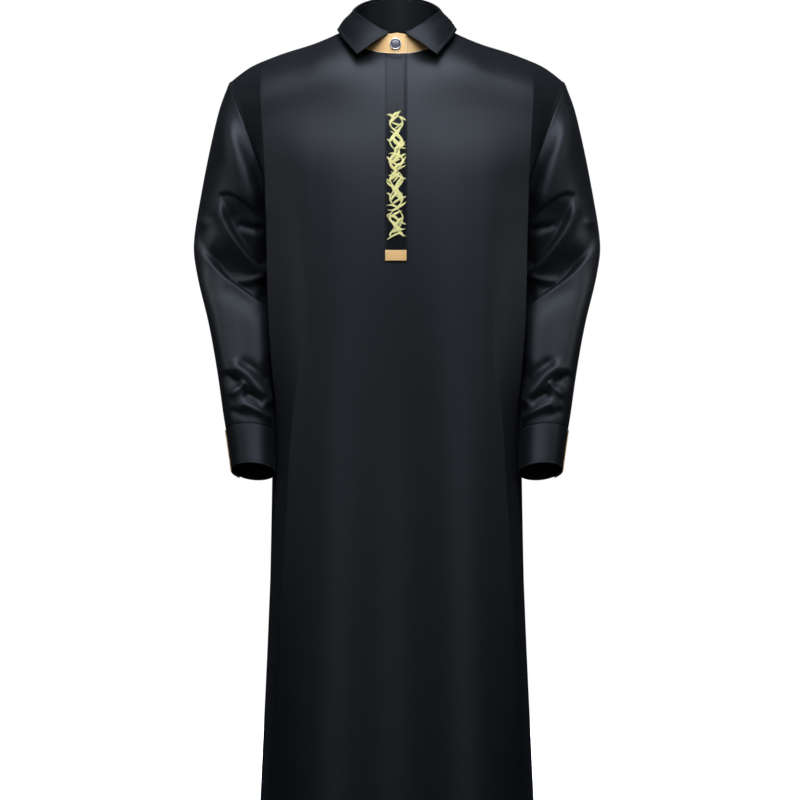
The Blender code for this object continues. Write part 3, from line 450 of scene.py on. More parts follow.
# The floor, which is darker in the middle, and the white bowl round it.
FLOOR_LEVEL = -1.480
FLOOR_GLOW = 0.25
FLOOR_GLOW_SCALE = 0.3
FLOOR_GLOW_EDGE = 0.65
FLOOR_RADII = (1.0, 2.0, 3.5, 7.0, 15.2)
FLOOR_STEPS = 96
BOWL_RADIUS = 15.0

# Lights, with their place, size, spread in degrees, power, colour and aim. Those in the second
# table stand on the +X side and have a twin on the other.
BLUE = (0.74, 0.83, 1.0)
PALE_BLUE = (0.78, 0.86, 1.0)
PALEST_BLUE = (0.85, 0.92, 1.0)
CHEST = (0.0, -0.05, -0.35)
LIGHTS = (
    ("key", (0.0, -2.35, 1.7), (2.0, 1.6), 180.0, 112.0, BLUE, CHEST),
    ("overhead", (0.0, -0.6, 2.3), (1.6, 1.2), 180.0, 86.0, BLUE, CHEST),
    ("behind", (0.0, 5.5, 0.2), (0.8, 1.4), 180.0, 190.0, PALE_BLUE, (0.0, 0.0, -0.6)),
    ("fill", (0.0, -5.5, 0.3), (3.0, 2.0), 180.0, 22.0, PALE_BLUE, CHEST),
)
TWIN_LIGHTS = (
    ("side", (2.4, -0.9, 0.5), (0.7, 0.7), 30.0, 0.6, PALEST_BLUE, (0.27, 0.0, -0.28)),
    ("arm", (1.4, -0.9, 0.1), (0.2, 0.2), 9.0, 0.050, PALEST_BLUE, (0.24, -0.03, -0.38)),
)
SKY_STRENGTH = 0.008

# Each cloth node with the width, length and area it was cut to, how it is held, and by what.
SHEETS = (
    ("front", 0.67, 1.50, 0.83, "hung", "shoulders"),
    ("back", 0.64, 1.49, 0.79, "hung", "shoulders"),
    ("sleeve_left", 0.53, 0.52, 0.155, "hung", "armhole"),
    ("sleeve_right", 0.53, 0.52, 0.155, "hung", "armhole"),
    ("cuff_left", 0.255, 0.060, 0.0141, "hung", "sleeve"),
    ("cuff_right", 0.255, 0.060, 0.0141, "hung", "sleeve"),
    ("cuff_tab_left", 0.046, 0.060, 0.0026, "laid", "cuff"),
    ("cuff_tab_right", 0.046, 0.060, 0.0026, "laid", "cuff"),
    ("collar_stand", 0.500, 0.048, 0.0157, "hung", "neck seam"),
    ("collar_stand_inside", 0.490, 0.049, 0.0157, "hung", "neck seam"),
    ("collar_fall", 0.510, 0.065, 0.0223, "folded", "collar stand"),
    ("placket", 0.030, 0.295, 0.00875, "laid", "front"),
    ("placket_tab", 0.030, 0.0144, 0.00042, "laid", "placket"),
)


def read_table(columns, rows):
    """A table as one array for each named column."""
    return dict(zip(columns, np.array(rows, float).T))


def unit(vectors):
    """The vectors at length one."""
    lengths = np.linalg.norm(vectors, axis=-1, keepdims=True)
    return vectors / np.maximum(lengths, 1e-12)


def smooth_through(knots, values):
    """A function for the natural cubic curve through values at rising knots."""
    knots = np.asarray(knots, float)
    values = np.asarray(values, float)
    shape = (-1,) + (1,) * (values.ndim - 1)
    steps = np.diff(knots)
    slopes = np.diff(values, axis=0) / steps.reshape(shape)
    left = np.eye(len(knots))
    right = np.zeros_like(values)
    for i in range(1, len(knots) - 1):
        left[i, i - 1 : i + 2] = steps[i - 1], 2 * (steps[i - 1] + steps[i]), steps[i]
        right[i] = 6 * (slopes[i] - slopes[i - 1])
    bends = np.linalg.solve(left, right.reshape(len(knots), -1)).reshape(values.shape)

    def at(where):
        where = np.asarray(where, float)
        i = np.clip(np.searchsorted(knots, where, side="right") - 1, 0, len(steps) - 1)
        spread = where.shape + (1,) * (values.ndim - 1)
        step = steps[i].reshape(spread)
        b = (where - knots[i]).reshape(spread) / step
        a = 1 - b
        curved = (a**3 - a) * bends[i] + (b**3 - b) * bends[i + 1]
        return a * values[i] + b * values[i + 1] + curved * step**2 / 6

    return at


def smooth_step(t):
    """0 below 0, 1 above 1 and an even rise between."""
    t = np.clip(t, 0, 1)
    return t * t * (3 - 2 * t)


def creased_path(points, creases, start, end, stops):
    """Points at stops, in spans, on a path through the points. A crease of 1 turns sharply.

    start and end are the directions that the path leaves and arrives in, or None.
    """
    chords = np.diff(points, axis=0)
    lengths = np.linalg.norm(chords, axis=1)
    ways = chords / lengths[:, None]
    arriving, leaving = np.empty_like(points), np.empty_like(points)
    arriving[0] = leaving[0] = ways[0] if start is None else start
    arriving[-1] = leaving[-1] = ways[-1] if end is None else end
    for i in range(1, len(points) - 1):
        before, after = lengths[i - 1], lengths[i]
        even = (ways[i - 1] * after + ways[i] * before) / (before + after)
        arriving[i] = even + creases[i] * (ways[i - 1] - even)
        leaving[i] = even + creases[i] * (ways[i] - even)
    span = np.clip(stops.astype(int), 0, len(chords) - 1)
    t = (stops - span)[:, None]
    reach = lengths[span][:, None]
    return (
        (2 * t**3 - 3 * t**2 + 1) * points[span]
        + (t**3 - 2 * t**2 + t) * leaving[span] * reach
        + (3 * t**2 - 2 * t**3) * points[span + 1]
        + (t**3 - t**2) * arriving[span + 1] * reach
    )


def from_front(angles):
    """How far angles are from the centre front, from 0 to pi."""
    return np.abs(np.angle(np.exp(1j * angles)))


def oval(angles, half_width, front_y, back_y):
    """x and y of an oval, at angles from the centre front in radians."""
    y = np.where(np.cos(angles) > 0, front_y, -back_y) * np.cos(angles)
    return half_width * np.sin(angles), y


def neck_seam(angles):
    """Points of the neck seam at angles from the centre front, in radians, up to pi."""
    x, y = oval(angles, NECK_HALF_WIDTH, NECK_FRONT_Y, NECK_BACK_Y)
    z = np.where(np.cos(angles) > 0, NECK_FRONT_Z, -NECK_BACK_Z) * np.cos(angles)
    return np.stack([x, y, z], axis=-1)


def armhole(angles):
    """Points of the armhole seam at angles from the shoulder tip; the front is at +90 degrees."""
    middle, half = (SHOULDER_TIP + UNDERARM) / 2, (SHOULDER_TIP - UNDERARM) / 2
    aside = np.array([0.0, -ARMHOLE_HALF_DEPTH, 0.0])
    return middle + np.cos(angles)[..., None] * half + np.sin(angles)[..., None] * aside


def top_edge(stops, facing):
    """The neck seam, over the first span, then the shoulder seam, over the other three."""
    neck = neck_seam(np.pi / 2 * (1 - facing * (1 - np.clip(stops, 0, 1))))
    x = np.interp(stops, np.arange(1, 5), SHOULDER_STOPS)
    z = smooth_through(SHOULDER_LINE["x"], SHOULDER_LINE["z"])(x)
    shoulder = np.stack([x, np.zeros_like(x), z], axis=-1)
    return np.where((stops <= 1)[:, None], neck, shoulder)


def gathered(cells, gather):
    """Places from 0 to 1, without the last, drawn towards both ends by gather from 0 to 1."""
    t = np.arange(cells) / cells
    return t - gather * np.sin(2 * np.pi * t) / (2 * np.pi)


def half_stops():
    """The places of a half panel's columns, in spans, from the centre to the side."""
    spans = [
        i + gathered(cells, gather)
        for i, (cells, gather) in enumerate(zip(SPAN_CELLS, SPAN_GATHER))
    ]
    return np.concatenate(spans + [[len(SPAN_CELLS)]])


def armhole_depths(angles):
    """The ring depth at which a panel's side edge reaches each armhole angle, in radians."""
    depths = [ring[0] for ring in RINGS[:ARMHOLE_RINGS]]
    return smooth_through(np.linspace(0, np.pi, ARMHOLE_RINGS), depths)(angles)


def side_edge(row_angles, below_rows, facing):
    """The panel's side edge: the armhole down to the underarm, then the side seam."""
    rings = read_table(RING_COLUMNS, RINGS[ARMHOLE_RINGS - 1 :])
    x = smooth_through(rings["depth"], rings["side_x"])(below_rows)
    z = smooth_through(rings["depth"], rings["side_z"])(below_rows)
    seam = np.stack([x, np.zeros_like(x), z], axis=-1)
    return np.concatenate([armhole(facing * row_angles), seam])


def softened(face, stops):
    """Half a panel with its rows eased out from the centre to near the fold."""
    lengths = lengths_along(face, 1)
    share = (1 - smooth_step((stops - SOFTENED_TO) / SOFTENED_BLEND))[None, :, None]
    steps = np.gradient(lengths, axis=1)
    eased = face.copy()
    for row in range(1, len(face)):
        here, there = lengths[row][:, None], lengths[row][None]
        width = SOFTENED_OVER * min(1.0, row / SOFTENED_ROWS)
        near = bump(here, there, width) * steps[row]
        mirror = bump(here, -there, width) * steps[row]
        weight = (near + mirror).sum(axis=1)
        for axis in (1, 2):
            eased[row, :, axis] = (near + mirror) @ face[row, :, axis] / weight
    return face + share * (eased - face)


def half_panel(table, facing, stops, row_angles, below_rows):
    """The outer face of half a front (facing 1) or back (facing -1) panel, as rows of points."""
    rings = read_table(RING_COLUMNS, RINGS)
    panel = read_table(PANEL_COLUMNS, table)
    top = top_edge(np.arange(5.0), facing)
    curves = [top_edge(stops, facing)]
    edge_angles = np.linspace(0, np.pi, ARMHOLE_RINGS)
    for i in range(1, len(RINGS)):
        x = [0.0, panel["ridge_x"][i - 1], panel["fold_x"][i - 1], panel["edge_x"][i - 1]]
        y = [panel[name + "_y"][i - 1] for name in ("centre", "ridge", "fold", "edge")]
        z = -rings["depth"][i] + rings["follow"][i] * (top[:4, 2] - TOP_LEVEL)
        if i < ARMHOLE_RINGS:
            side = armhole(facing * edge_angles[i])
        else:
            side = np.array([rings["side_x"][i], 0.0, rings["side_z"][i]])
        points = np.vstack([np.stack([x, y, z], axis=1), side])
        creases = [0, 0, panel["fold_crease"][i - 1], panel["edge_crease"][i - 1], 0]
        across = np.array([1.0, 0.0, 0.0])
        aft = np.array([0.0, float(facing), 0.0]) if i >= ARMHOLE_RINGS else None
        curves.append(creased_path(points, creases, across, aft, stops))
    depths = np.concatenate([armhole_depths(row_angles), below_rows])
    face = smooth_through(rings["depth"], np.array(curves))(depths)
    if len(stops) > SOFTENED_FROM_COLUMNS:
        face = softened(face, stops)
    seam = side_edge(row_angles, below_rows, facing)
    seam[:, 1] -= facing * PANEL_GAP / 2 * (np.abs(seam[:, 1]) < PANEL_GAP)
    face += smooth_step(stops - 3)[None, :, None] * (seam - face[:, -1])[:, None]
    face[0, stops >= 1, 1] = -facing * PANEL_GAP / 2
    return face


def tube_rings(rows, angles, where):
    """Rings of a sleeve or cuff at the row numbers in where; angle 0 is outside, 90 in front."""
    table = smooth_through(np.arange(len(rows)), np.array(rows, float))(where)
    ring = dict(zip(SLEEVE_COLUMNS, table.T[..., None]))
    across, along = np.cos(angles)[None], np.sin(angles)[None]
    pressed = along * (1 + ring["flat"] * across**2)
    x, z = (
        (outer + inner) / 2 + (outer - inner) / 2 * across
        for outer, inner in ((ring["outer_" + axis], ring["inner_" + axis]) for axis in "xz")
    )
    y = ring["centre_y"] - ring["half_depth"] * pressed
    return np.stack([x, y, z + ring["front_lift"] * along], axis=-1)


def stand_top(angles):
    """The top edge of the collar stand's outer face."""
    x, y = oval(angles, STAND_TOP_HALF_WIDTH, STAND_TOP_FRONT_Y, STAND_TOP_BACK_Y)
    table = read_table(STAND_TOP_COLUMNS, STAND_TOP)
    z = smooth_through(np.radians(table["angle"]), table["z"])(from_front(angles))
    return np.stack([x, y, z], axis=-1)


def stand_bottom(angles):
    """The bottom edge of the stand, on the neck seam, at angles all the way round."""
    seam = neck_seam(from_front(angles))
    seam[..., 0] *= np.where(np.sin(angles) < 0, -1.0, 1.0)
    return seam


def stand_layer(depth_in, along, up):
    """A band of the stand, depth_in behind its outer face, and its outward directions.

    along and up are places from 0 to 1. The band starts at the end on the +X side of the centre
    front, which lies on top and has a rounded corner, and ends at the end that lies under it.
    """
    ends = [math.asin(STAND_END_X / width) for width in (NECK_HALF_WIDTH, STAND_TOP_HALF_WIDTH)]
    low, high = (
        edge(end - along * (2 * math.pi + 2 * end))
        for edge, end in zip((stand_bottom, stand_top), ends)
    )
    # Only the end that lies on top is near its corner, so the rest counts as a metre away.
    beyond = np.where(along > 0.3, 1.0, 0.0)
    near = np.clip(1 - (low[0, 0] - low[:, 0] + beyond) / STAND_CORNER, 0, 1)
    high[:, 2] -= STAND_CORNER * (1 - np.sqrt(1 - near**2))
    if depth_in == 0:
        turn = np.abs(np.arctan2(high[:, 0], -high[:, 1]))
        lower = smooth_step((turn - STAND_LOWER_TURN) / STAND_LOWER_TURN)
        high[:, 2] -= STAND_FACE_LOWER * lower
    face = low + up[:, None, None] * (high - low)
    length = along * 2 * math.pi * NECK_HALF_WIDTH
    lap = 2 * STAND_END_X
    over = 1 - smooth_step((length - lap) / STAND_OVERLAP_BLEND)
    under = 1 - smooth_step((length[-1] - length - lap) / STAND_OVERLAP_BLEND)
    outwards = unit(face * [1.0, 1.0, 0.0])
    shift = (over - under) * STAND_OVERLAP_SHIFT / 2 - depth_in
    return face + shift[None, :, None] * outwards, outwards


def fall_face(angles, where):
    """The upper face of the collar fall, from inside the stand's top, over the roll, to its edge.

    where runs from 0 at the seam on the stand to 1 at the fall's edge.
    """
    inside = 2 * BAND + SEAM_GAP
    top = stand_top(angles)
    outwards = unit(top * [1.0, 1.0, 0.0])
    turn = from_front(angles)
    from_start = turn - math.radians(FALL_START_ANGLE)
    full = smooth_step(from_start / math.radians(FALL_FULL_WITHIN))[:, None]
    up = np.array([0.0, 0.0, 1.0])
    table = read_table(FALL_EDGE_COLUMNS, FALL_EDGE)
    edge_points = np.stack([table["x"], table["y"], table["z"]], axis=1)
    edge = smooth_through(np.radians(table["angle"]), edge_points)(turn)
    edge[:, 0] *= np.where(np.sin(angles) < 0, -1.0, 1.0)
    base = top - inside * outwards + 4 * SEAM_GAP * up
    shoulder = base + FALL_ROLL_HEIGHT * FALL_SHOULDER_UP * up
    crown = base + FALL_ROLL_HEIGHT * up + FALL_ROLL_OUT * FALL_CROWN_OUT * outwards
    rise = FALL_ROLL_HEIGHT * (FALL_TURNED_UP - FALL_TURNED_DROP * full)
    turned = base + rise * up + FALL_ROLL_OUT * outwards
    third = turned + (edge - turned) / 3 + FALL_BULGE * outwards
    two_thirds = turned + (edge - turned) * 2 / 3 + FALL_BULGE * FALL_LOWER_BULGE * outwards
    sections = np.array([base, shoulder, crown, turned, third, two_thirds, edge])
    return smooth_through(FALL_SECTIONS, sections)(where)


def face_normals(face, closed=False):
    """Unit normals of a grid of points, from the run of its rows and columns."""
    if closed:
        around = np.roll(face, -1, axis=1) - np.roll(face, 1, axis=1)
    else:
        around = np.gradient(face, axis=1)
    return unit(np.cross(around, np.gradient(face, axis=0)))


def outward_normals(face, core, closed=False):
    """Normals of a grid of points, turned so that they lead away from the core points."""
    normals = face_normals(face, closed)
    if ((face - core) * normals).sum() < 0:
        return -normals
    return normals


def mirrored(grid):
    """The grid on the other side of the centre plane."""
    return grid * np.array([-1.0, 1.0, 1.0])


def edge_fullness(distance, radius):
    """How thick a padded edge is at a distance from its end, as a share of the whole."""
    rise = np.sqrt(1 - (1 - np.clip(distance / radius, 0, 1)) ** 2)
    return EDGE_LEAST + (1 - EDGE_LEAST) * rise


def edged(cells, length, radius):
    """Places from 0 to 1 along a length, close together within radius of both ends."""
    ends = np.array(EDGE_PLACES) * radius / length
    middle = np.linspace(radius / length, 1 - radius / length, cells + 1)
    return np.concatenate([ends, middle, 1 - ends[::-1]])


def lengths_along(grid, axis):
    """How far each point of the grid is along its row or column, in metres."""
    steps = np.linalg.norm(np.diff(grid, axis=axis), axis=-1)
    starts = np.zeros_like(np.take(steps, [0], axis=axis))
    return np.concatenate([starts, np.cumsum(steps, axis=axis)], axis=axis)


def bump(distance, centre, width):
    """A soft hill of height 1 at a distance of centre."""
    return np.exp(-(((distance - centre) / width) ** 2))


def mesh_object(name, vertices, faces, material, places=None):
    """An object from vertices and faces, shaded smooth, riding on the part's one body."""
    mesh = bpy.data.meshes.new(name)
    mesh.from_pydata(np.asarray(vertices).tolist(), [], faces)
    if places is not None:
        layer = mesh.uv_layers.new(name="cloth")
        layer.data.foreach_set("uv", places.ravel())
    mesh.shade_smooth()
    mesh.materials.append(material)
    made = bpy.data.objects.new(name, mesh)
    bpy.context.scene.collection.objects.link(made)
    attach(made, "root")
    return made


def wall(name, outer, inner, material, slot, closed=False, keep=None):
    """A closed wall between two grids of points. keep says which cells are there."""
    rows, columns = outer.shape[:2]
    if closed:
        outer = np.concatenate([outer, outer[:, :1]], axis=1)
    across = outer.shape[1] - 1
    index = np.arange(rows * columns).reshape(rows, columns)
    if closed:
        index = np.concatenate([index, index[:, :1]], axis=1)
    spots = np.arange(rows * (across + 1)).reshape(rows, across + 1)
    if keep is None:
        keep = np.ones((rows - 1, across), bool)
    framed = np.pad(keep, 1)
    if closed:
        framed[1:-1, 0], framed[1:-1, -1] = keep[:, -1], keep[:, 0]
    above, under = framed[:-2, 1:-1], framed[2:, 1:-1]
    before, after = framed[1:-1, :-2], framed[1:-1, 2:]

    def faces_of(grid, layer):
        a, b, c, d = grid[:-1, :-1], grid[:-1, 1:], grid[1:, 1:], grid[1:, :-1]
        found = [np.stack([a, b, c, d], -1)[keep], np.stack([a, d, c, b], -1)[keep] + layer]
        for first, second, beside in ((b, a, above), (d, c, under), (a, d, before), (c, b, after)):
            rim = keep & ~beside
            ends = first[rim], second[rim]
            found.append(np.stack([ends[0], ends[1], ends[1] + layer, ends[0] + layer], -1))
        return np.concatenate(found)

    faces = faces_of(index, rows * columns)
    corners = faces_of(spots, spots.size)
    flat_outer = outer[:, :columns].reshape(-1, 3)
    vertices = np.concatenate([flat_outer, inner.reshape(-1, 3)])
    middle = faces[keep.sum() // 2]
    sides = vertices[middle[1]] - vertices[middle[0]], vertices[middle[3]] - vertices[middle[0]]
    if np.cross(*sides) @ (vertices[middle[0]] - vertices[middle[0] + rows * columns]) < 0:
        faces, corners = faces[:, ::-1], corners[:, ::-1]
    around = lengths_along(outer, 1)
    around = around - around.mean(axis=1, keepdims=True)
    down = lengths_along(outer, 0)
    places = np.stack([around, down[-1:] - down], -1).reshape(-1, 2)
    places = np.concatenate([places, places])[corners.ravel()]
    used, faces = np.unique(faces, return_inverse=True)
    faces = faces.reshape(-1, 4).tolist()
    mesh_object(name, vertices[used], faces, material, places)


def threads(name, paths, ups, radius, material, slot, sides=6, ends=0.45, flat=1.0):
    """Many short closed threads. paths and ups hold a run of points and directions for each."""
    paths, ups = np.asarray(paths), np.asarray(ups)
    count, steps = paths.shape[:2]
    ways = unit(np.gradient(paths, axis=1))
    aside = unit(np.cross(ways, ups))
    ups = np.cross(aside, ways)
    girth = np.full(steps, radius)
    girth[0] = girth[-1] = radius * ends
    turns = 2 * np.pi * np.arange(sides) / sides
    rings = (
        paths[:, :, None]
        + girth[None, :, None, None] * np.cos(turns)[None, None, :, None] * aside[:, :, None]
        + girth[None, :, None, None] * flat * np.sin(turns)[None, None, :, None] * ups[:, :, None]
    )
    first = np.arange(count)[:, None, None] * steps * sides
    along = np.arange(steps - 1)[None, :, None] * sides
    around = np.arange(sides)[None, None, :]
    beside = (around + 1) % sides
    a, b = first + along + around, first + along + beside
    quads = np.stack([a, a + sides, b + sides, b], -1).reshape(-1, 4).tolist()
    start = (first[:, 0] + np.arange(sides)).tolist()
    finish = (first[:, 0] + (steps - 1) * sides + np.arange(sides)[::-1]).tolist()
    mesh_object(name, rings.reshape(-1, 3), quads + start + finish, material)


def panel_grids(table, facing, stops):
    """Half a panel with its seams turned in: outer and inner points, cells and row depths.

    The turned-in cloth is in three rows above the shoulder seam and three columns beyond the
    armhole and the side seam.
    """
    t = np.linspace(0, 1, ARMHOLE_CELLS + 1)
    row_angles = np.pi * t - ARMHOLE_GATHER * np.sin(np.pi * t)
    hem_end = RINGS[-1][0]
    hem_top = hem_end - HEM_HEIGHT
    skirt = np.linspace(SKIRT_TOP, hem_top - 2 * HEM_STEP, SKIRT_CELLS)
    hem = np.linspace(hem_top - HEM_STEP, hem_end - HEM_EDGE_ROWS[0], HEM_CELLS)
    below_rows = np.concatenate([skirt, hem, hem_end - np.array(HEM_EDGE_ROWS[1:])])
    depths = np.concatenate([armhole_depths(row_angles), below_rows])
    outer = half_panel(table, facing, stops, row_angles, below_rows)
    core = np.array([0.0, 0.0, hem_end / -2])
    normals = outward_normals(outer, core)
    count = len(row_angles)
    shoulder = stops >= 1

    lengths = lengths_along(outer, 1)
    from_side = lengths[:, -1:] - lengths
    from_top = lengths_along(outer, 0)
    below = smooth_step((depths - RINGS[ARMHOLE_RINGS - 1][0]) / SIDE_SEAM_BLEND)
    strong = SIDE_SEAM_SHARE + (1 - SIDE_SEAM_SHARE) * (1 - below)
    raised = SEAM_RIDGE * bump(from_side, SEAM_RIDGE_FROM, SEAM_RIDGE_WIDTH) * strong[:, None]
    raised = raised + SEAM_RIDGE / 2 * bump(from_top, SEAM_RIDGE_FROM, SEAM_RIDGE_WIDTH) * shoulder
    groove = bump(depths, hem_top + HEM_GROOVE_DOWN, HEM_GROOVE_WIDTH)
    raised = raised - STITCH_GROOVE * groove[:, None]
    outer = outer + raised[..., None] * normals
    normals = outward_normals(outer, core)

    # The seam is turned in square to the armhole at the shoulder tip, and into the panel below.
    onward = unit(outer[:, -1] - outer[:, -5])
    middle = (SHOULDER_TIP + UNDERARM) / 2
    inward = -normals[:, -1]
    square = unit(middle - outer[:count, -1])
    share = smooth_step(1.5 - row_angles / (np.pi / 3))[:, None]
    inward[:count] = unit(share * square + (1 - share) * inward[:count])
    inward[count - 1 :] = (-1.0, 0.0, 0.0)
    over = np.array([0.0, float(facing), 0.0])

    in_hem = smooth_step((depths - hem_top) / HEM_EASE)[:, None]
    thickness = CLOTH + (HEM_THICKNESS - CLOTH) * in_hem
    rounding = 1 - edge_fullness(hem_end - depths, HEM_ROUNDING)[:, None]
    inner = outer - (thickness * (1 - rounding / 2))[..., None] * normals
    inner = inner - np.clip(CLOTH - from_side, 0, None)[..., None] * onward[:, None]
    inner = inner - (np.clip(CLOTH - from_top, 0, None) * shoulder)[..., None] * over
    outer = outer - (thickness * rounding / 2)[..., None] * normals

    reach = np.array(TURNED_ROWS)
    aside = reach[None, :, None] * inward[:, None]
    outer_side = outer[:, -1:] + aside
    outer = np.concatenate([outer, outer_side], axis=1)
    inner = np.concatenate([inner, outer_side - CLOTH * onward[:, None]], axis=1)
    down = reach[::-1, None, None] * SHOULDER_IN
    outer_top = outer[:1] + down
    inner = np.concatenate([outer_top - CLOTH * over, inner])
    outer = np.concatenate([outer_top, outer])
    keep = np.ones((outer.shape[0] - 1, outer.shape[1] - 1), bool)
    keep[: len(reach), len(stops) - 1 :] = False
    keep[: len(reach), : len(stops) - 1] = shoulder[:-1]
    depths = np.concatenate([np.zeros(len(reach)), depths])
    return outer, inner, keep, depths


def whole_panel(name, outer, inner, keep, cloth):
    """A panel from its half, which starts at the centre."""
    outer, inner = (
        np.concatenate([mirrored(half)[:, :0:-1], half], axis=1) for half in (outer, inner)
    )
    keep = np.concatenate([keep[:, ::-1], keep], axis=1)
    wall(name, outer, inner, cloth, "black_cloth", keep=keep)


def make_front(cloth):
    """The front, slit down its centre under the placket."""
    stops = np.concatenate([[0.0, SLIT_SPAN], half_stops()[1:]])
    outer, inner, keep, depths = panel_grids(FRONT_PANEL, 1, stops)
    keep[depths[1:] <= SLIT_END, 0] = False
    whole_panel("front_cloth", outer, inner, keep, cloth)


def make_back(cloth):
    """The back, in one piece."""
    outer, inner, keep, _ = panel_grids(BACK_PANEL, -1, half_stops())
    whole_panel("back_cloth", outer, inner, keep, cloth)


def from_line(x, z, line):
    """How far points are to the left of a line's run, and how far along it from 0 to 1."""
    starts = lengths_along(line, 0)
    lengths = np.linalg.norm(np.diff(line, axis=0), axis=1)
    best = np.full(x.shape, np.inf)
    along, side = np.zeros(x.shape), np.ones(x.shape)
    for a, b, length, start in zip(line[:-1], line[1:], lengths, starts):
        run_x, run_z = b - a
        t = np.clip(((x - a[0]) * run_x + (z - a[1]) * run_z) / length**2, 0, 1)
        away = np.hypot(x - a[0] - t * run_x, z - a[1] - t * run_z)
        nearer = away < best
        best = np.where(nearer, away, best)
        along = np.where(nearer, (start + t * length) / starts[-1], along)
        side = np.where(nearer, np.sign(run_x * (z - a[1]) - run_z * (x - a[0])), side)
    return best * side, along


def folded(face, normals, ease):
    """A sleeve's face moved along its normals by the folds, in front and, softer, behind."""
    front, behind = (
        smooth_step((facing * normals[..., 1] - FOLD_FACING) / FOLD_FACING_BLEND)
        for facing in (-1, 1)
    )
    share = front + HIDDEN_FOLD_SHARE * behind
    level = face[..., 2] + HIDDEN_FOLD_DROP * (normals[..., 1] > 0)
    raised = np.zeros(face.shape[:2])
    for row in SLEEVE_FOLDS:
        fold = dict(zip(FOLD_COLUMNS, row))
        knots = np.arange(len(fold["line"]))
        finer = np.linspace(0, knots[-1], FOLD_STEPS * knots[-1] + 1)
        line = smooth_through(knots, fold["line"])(finer)
        aside, along = from_line(face[..., 0], level, line)
        width = np.where(aside > 0, fold["left"], fold["right"])
        rise = smooth_step(along / fold["start"]) * smooth_step((1 - along) / fold["end"])
        raised += fold["height"] * rise * bump(aside, 0, width)
    return face + (raised * share * ease)[..., None] * normals


def sleeve_grids():
    """The outer and inner points of the left sleeve, with both its ends turned in."""
    turn = SLEEVE_SEAM_ANGLE + np.linspace(0, 2 * np.pi, SLEEVE_CELLS_AROUND, endpoint=False)
    angles = turn - SLEEVE_FRONT_GATHER * np.sin(turn - np.pi / 2)
    last = len(SLEEVE_RINGS) - 1
    fine = np.linspace(0, last, 400)
    middle = tube_rings(SLEEVE_RINGS, np.linspace(0, 2 * np.pi, 12, endpoint=False), fine)
    path = lengths_along(middle.mean(axis=1, keepdims=True), 0)[:, 0]
    ends = np.array(SLEEVE_END_ROWS)
    even = np.linspace(SLEEVE_ENDS, path[-1] - SLEEVE_ENDS, SLEEVE_CELLS_ALONG + 1)
    lengths = np.concatenate([ends, even, path[-1] - ends[::-1]])
    where = np.interp(lengths, path, fine)
    outer = tube_rings(SLEEVE_RINGS, angles, where)
    core = outer.mean(axis=1, keepdims=True)
    normals = outward_normals(outer, core, closed=True)
    ease = smooth_step(where / FOLD_EASE[0]) * smooth_step((last - where) / FOLD_EASE[1])
    outer = folded(outer, normals, ease[:, None])
    normals = outward_normals(outer, core, closed=True)
    raised = SEAM_RIDGE / 2 * bump(lengths, SEAM_RIDGE_FROM, SEAM_RIDGE_WIDTH)
    outer = outer + raised[:, None, None] * normals
    out = unit(np.cross(UNDERARM - SHOULDER_TIP, [0.0, 1.0, 0.0]))
    out = out if out[0] > 0 else -out
    apart = PANEL_GAP * np.exp(-lengths / PANEL_GAP_OVER)
    outer = outer + apart[:, None, None] * out
    inner = outer - CLOTH * normals
    inner = inner + np.clip(CLOTH - lengths, 0, None)[:, None, None] * out
    onward = unit(outer[-1] - outer[-5])
    to_end = np.clip(CLOTH - (lengths[-1] - lengths), 0, None)
    inner = inner - to_end[:, None, None] * onward

    reach = np.array(TURNED_ROWS)[::-1, None, None]
    start = outer[:1] + reach * unit(core[0] - outer[0])
    tucked = np.array(SLEEVE_TUCK)
    inward = unit(core[-1] - outer[-1])
    finish = outer[-1:] + tucked[:, :1, None] * inward + tucked[:, 1:, None] * onward
    back = np.array(SLEEVE_TUCK_CLOTH)[:, None, None] * CLOTH
    outer = np.concatenate([start, outer, finish])
    inner = np.concatenate([start + CLOTH * out, inner, finish + CLOTH * inward - back * onward])
    return outer, inner


def left_and_right(*bands, closed=False):
    """The left pieces, and then their mirror images on the right.

    A band is a name with a place for its side, two grids, a material and a slot, which is not
    used.
    """
    for side, turn in (("left", np.array), ("right", mirrored)):
        for name, outer, inner, material, slot in bands:
            wall(name.format(side), turn(outer), turn(inner), material, slot, closed)


def make_sleeves(cloth):
    """Both sleeves, closed tubes from armhole to cuff."""
    left_and_right(("sleeve_{}_cloth", *sleeve_grids(), cloth, "black_cloth"), closed=True)


def cuff_surface(angles, where):
    """Points and outward normals of the cuff at angles in radians and ring numbers."""
    outer = tube_rings(CUFF_RINGS, angles, where)
    return outer, outward_normals(outer, outer.mean(axis=1, keepdims=True))


def band_grids(face, normals, thickness, radius, groove_in=None):
    """The outer and inner points of a band with edges rounded over radius.

    groove_in is how far the groove along its stitching is from its edges.
    """
    down, across = lengths_along(face, 0), lengths_along(face, 1)
    to_rows = np.minimum(down, down[-1:] - down)
    to_ends = np.minimum(across, across[:, -1:] - across)
    full = np.minimum(edge_fullness(to_rows, radius), edge_fullness(to_ends, radius))
    middle = face - thickness / 2 * normals
    half = (thickness / 2 * full)[..., None] * normals
    outer = middle + half
    if groove_in is not None:
        groove = bump(np.minimum(to_rows, to_ends), groove_in, STITCH_GROOVE_WIDTH)
        outer = outer - STITCH_GROOVE * groove[..., None] * normals
    return outer, middle - half


def row_line(grid, normals, inset, from_last=False):
    """The line over a grid at inset from its first or its last row, with its normals."""
    lengths = lengths_along(grid, 0)
    wanted = lengths[-1] - inset if from_last else np.full(grid.shape[1], inset)
    line = [
        [np.interp(wanted[j], lengths[:, j], source[:, j, k]) for j in range(grid.shape[1])]
        for source in (grid, normals)
        for k in range(3)
    ]
    return np.array(line[:3]).T, unit(np.array(line[3:]).T)


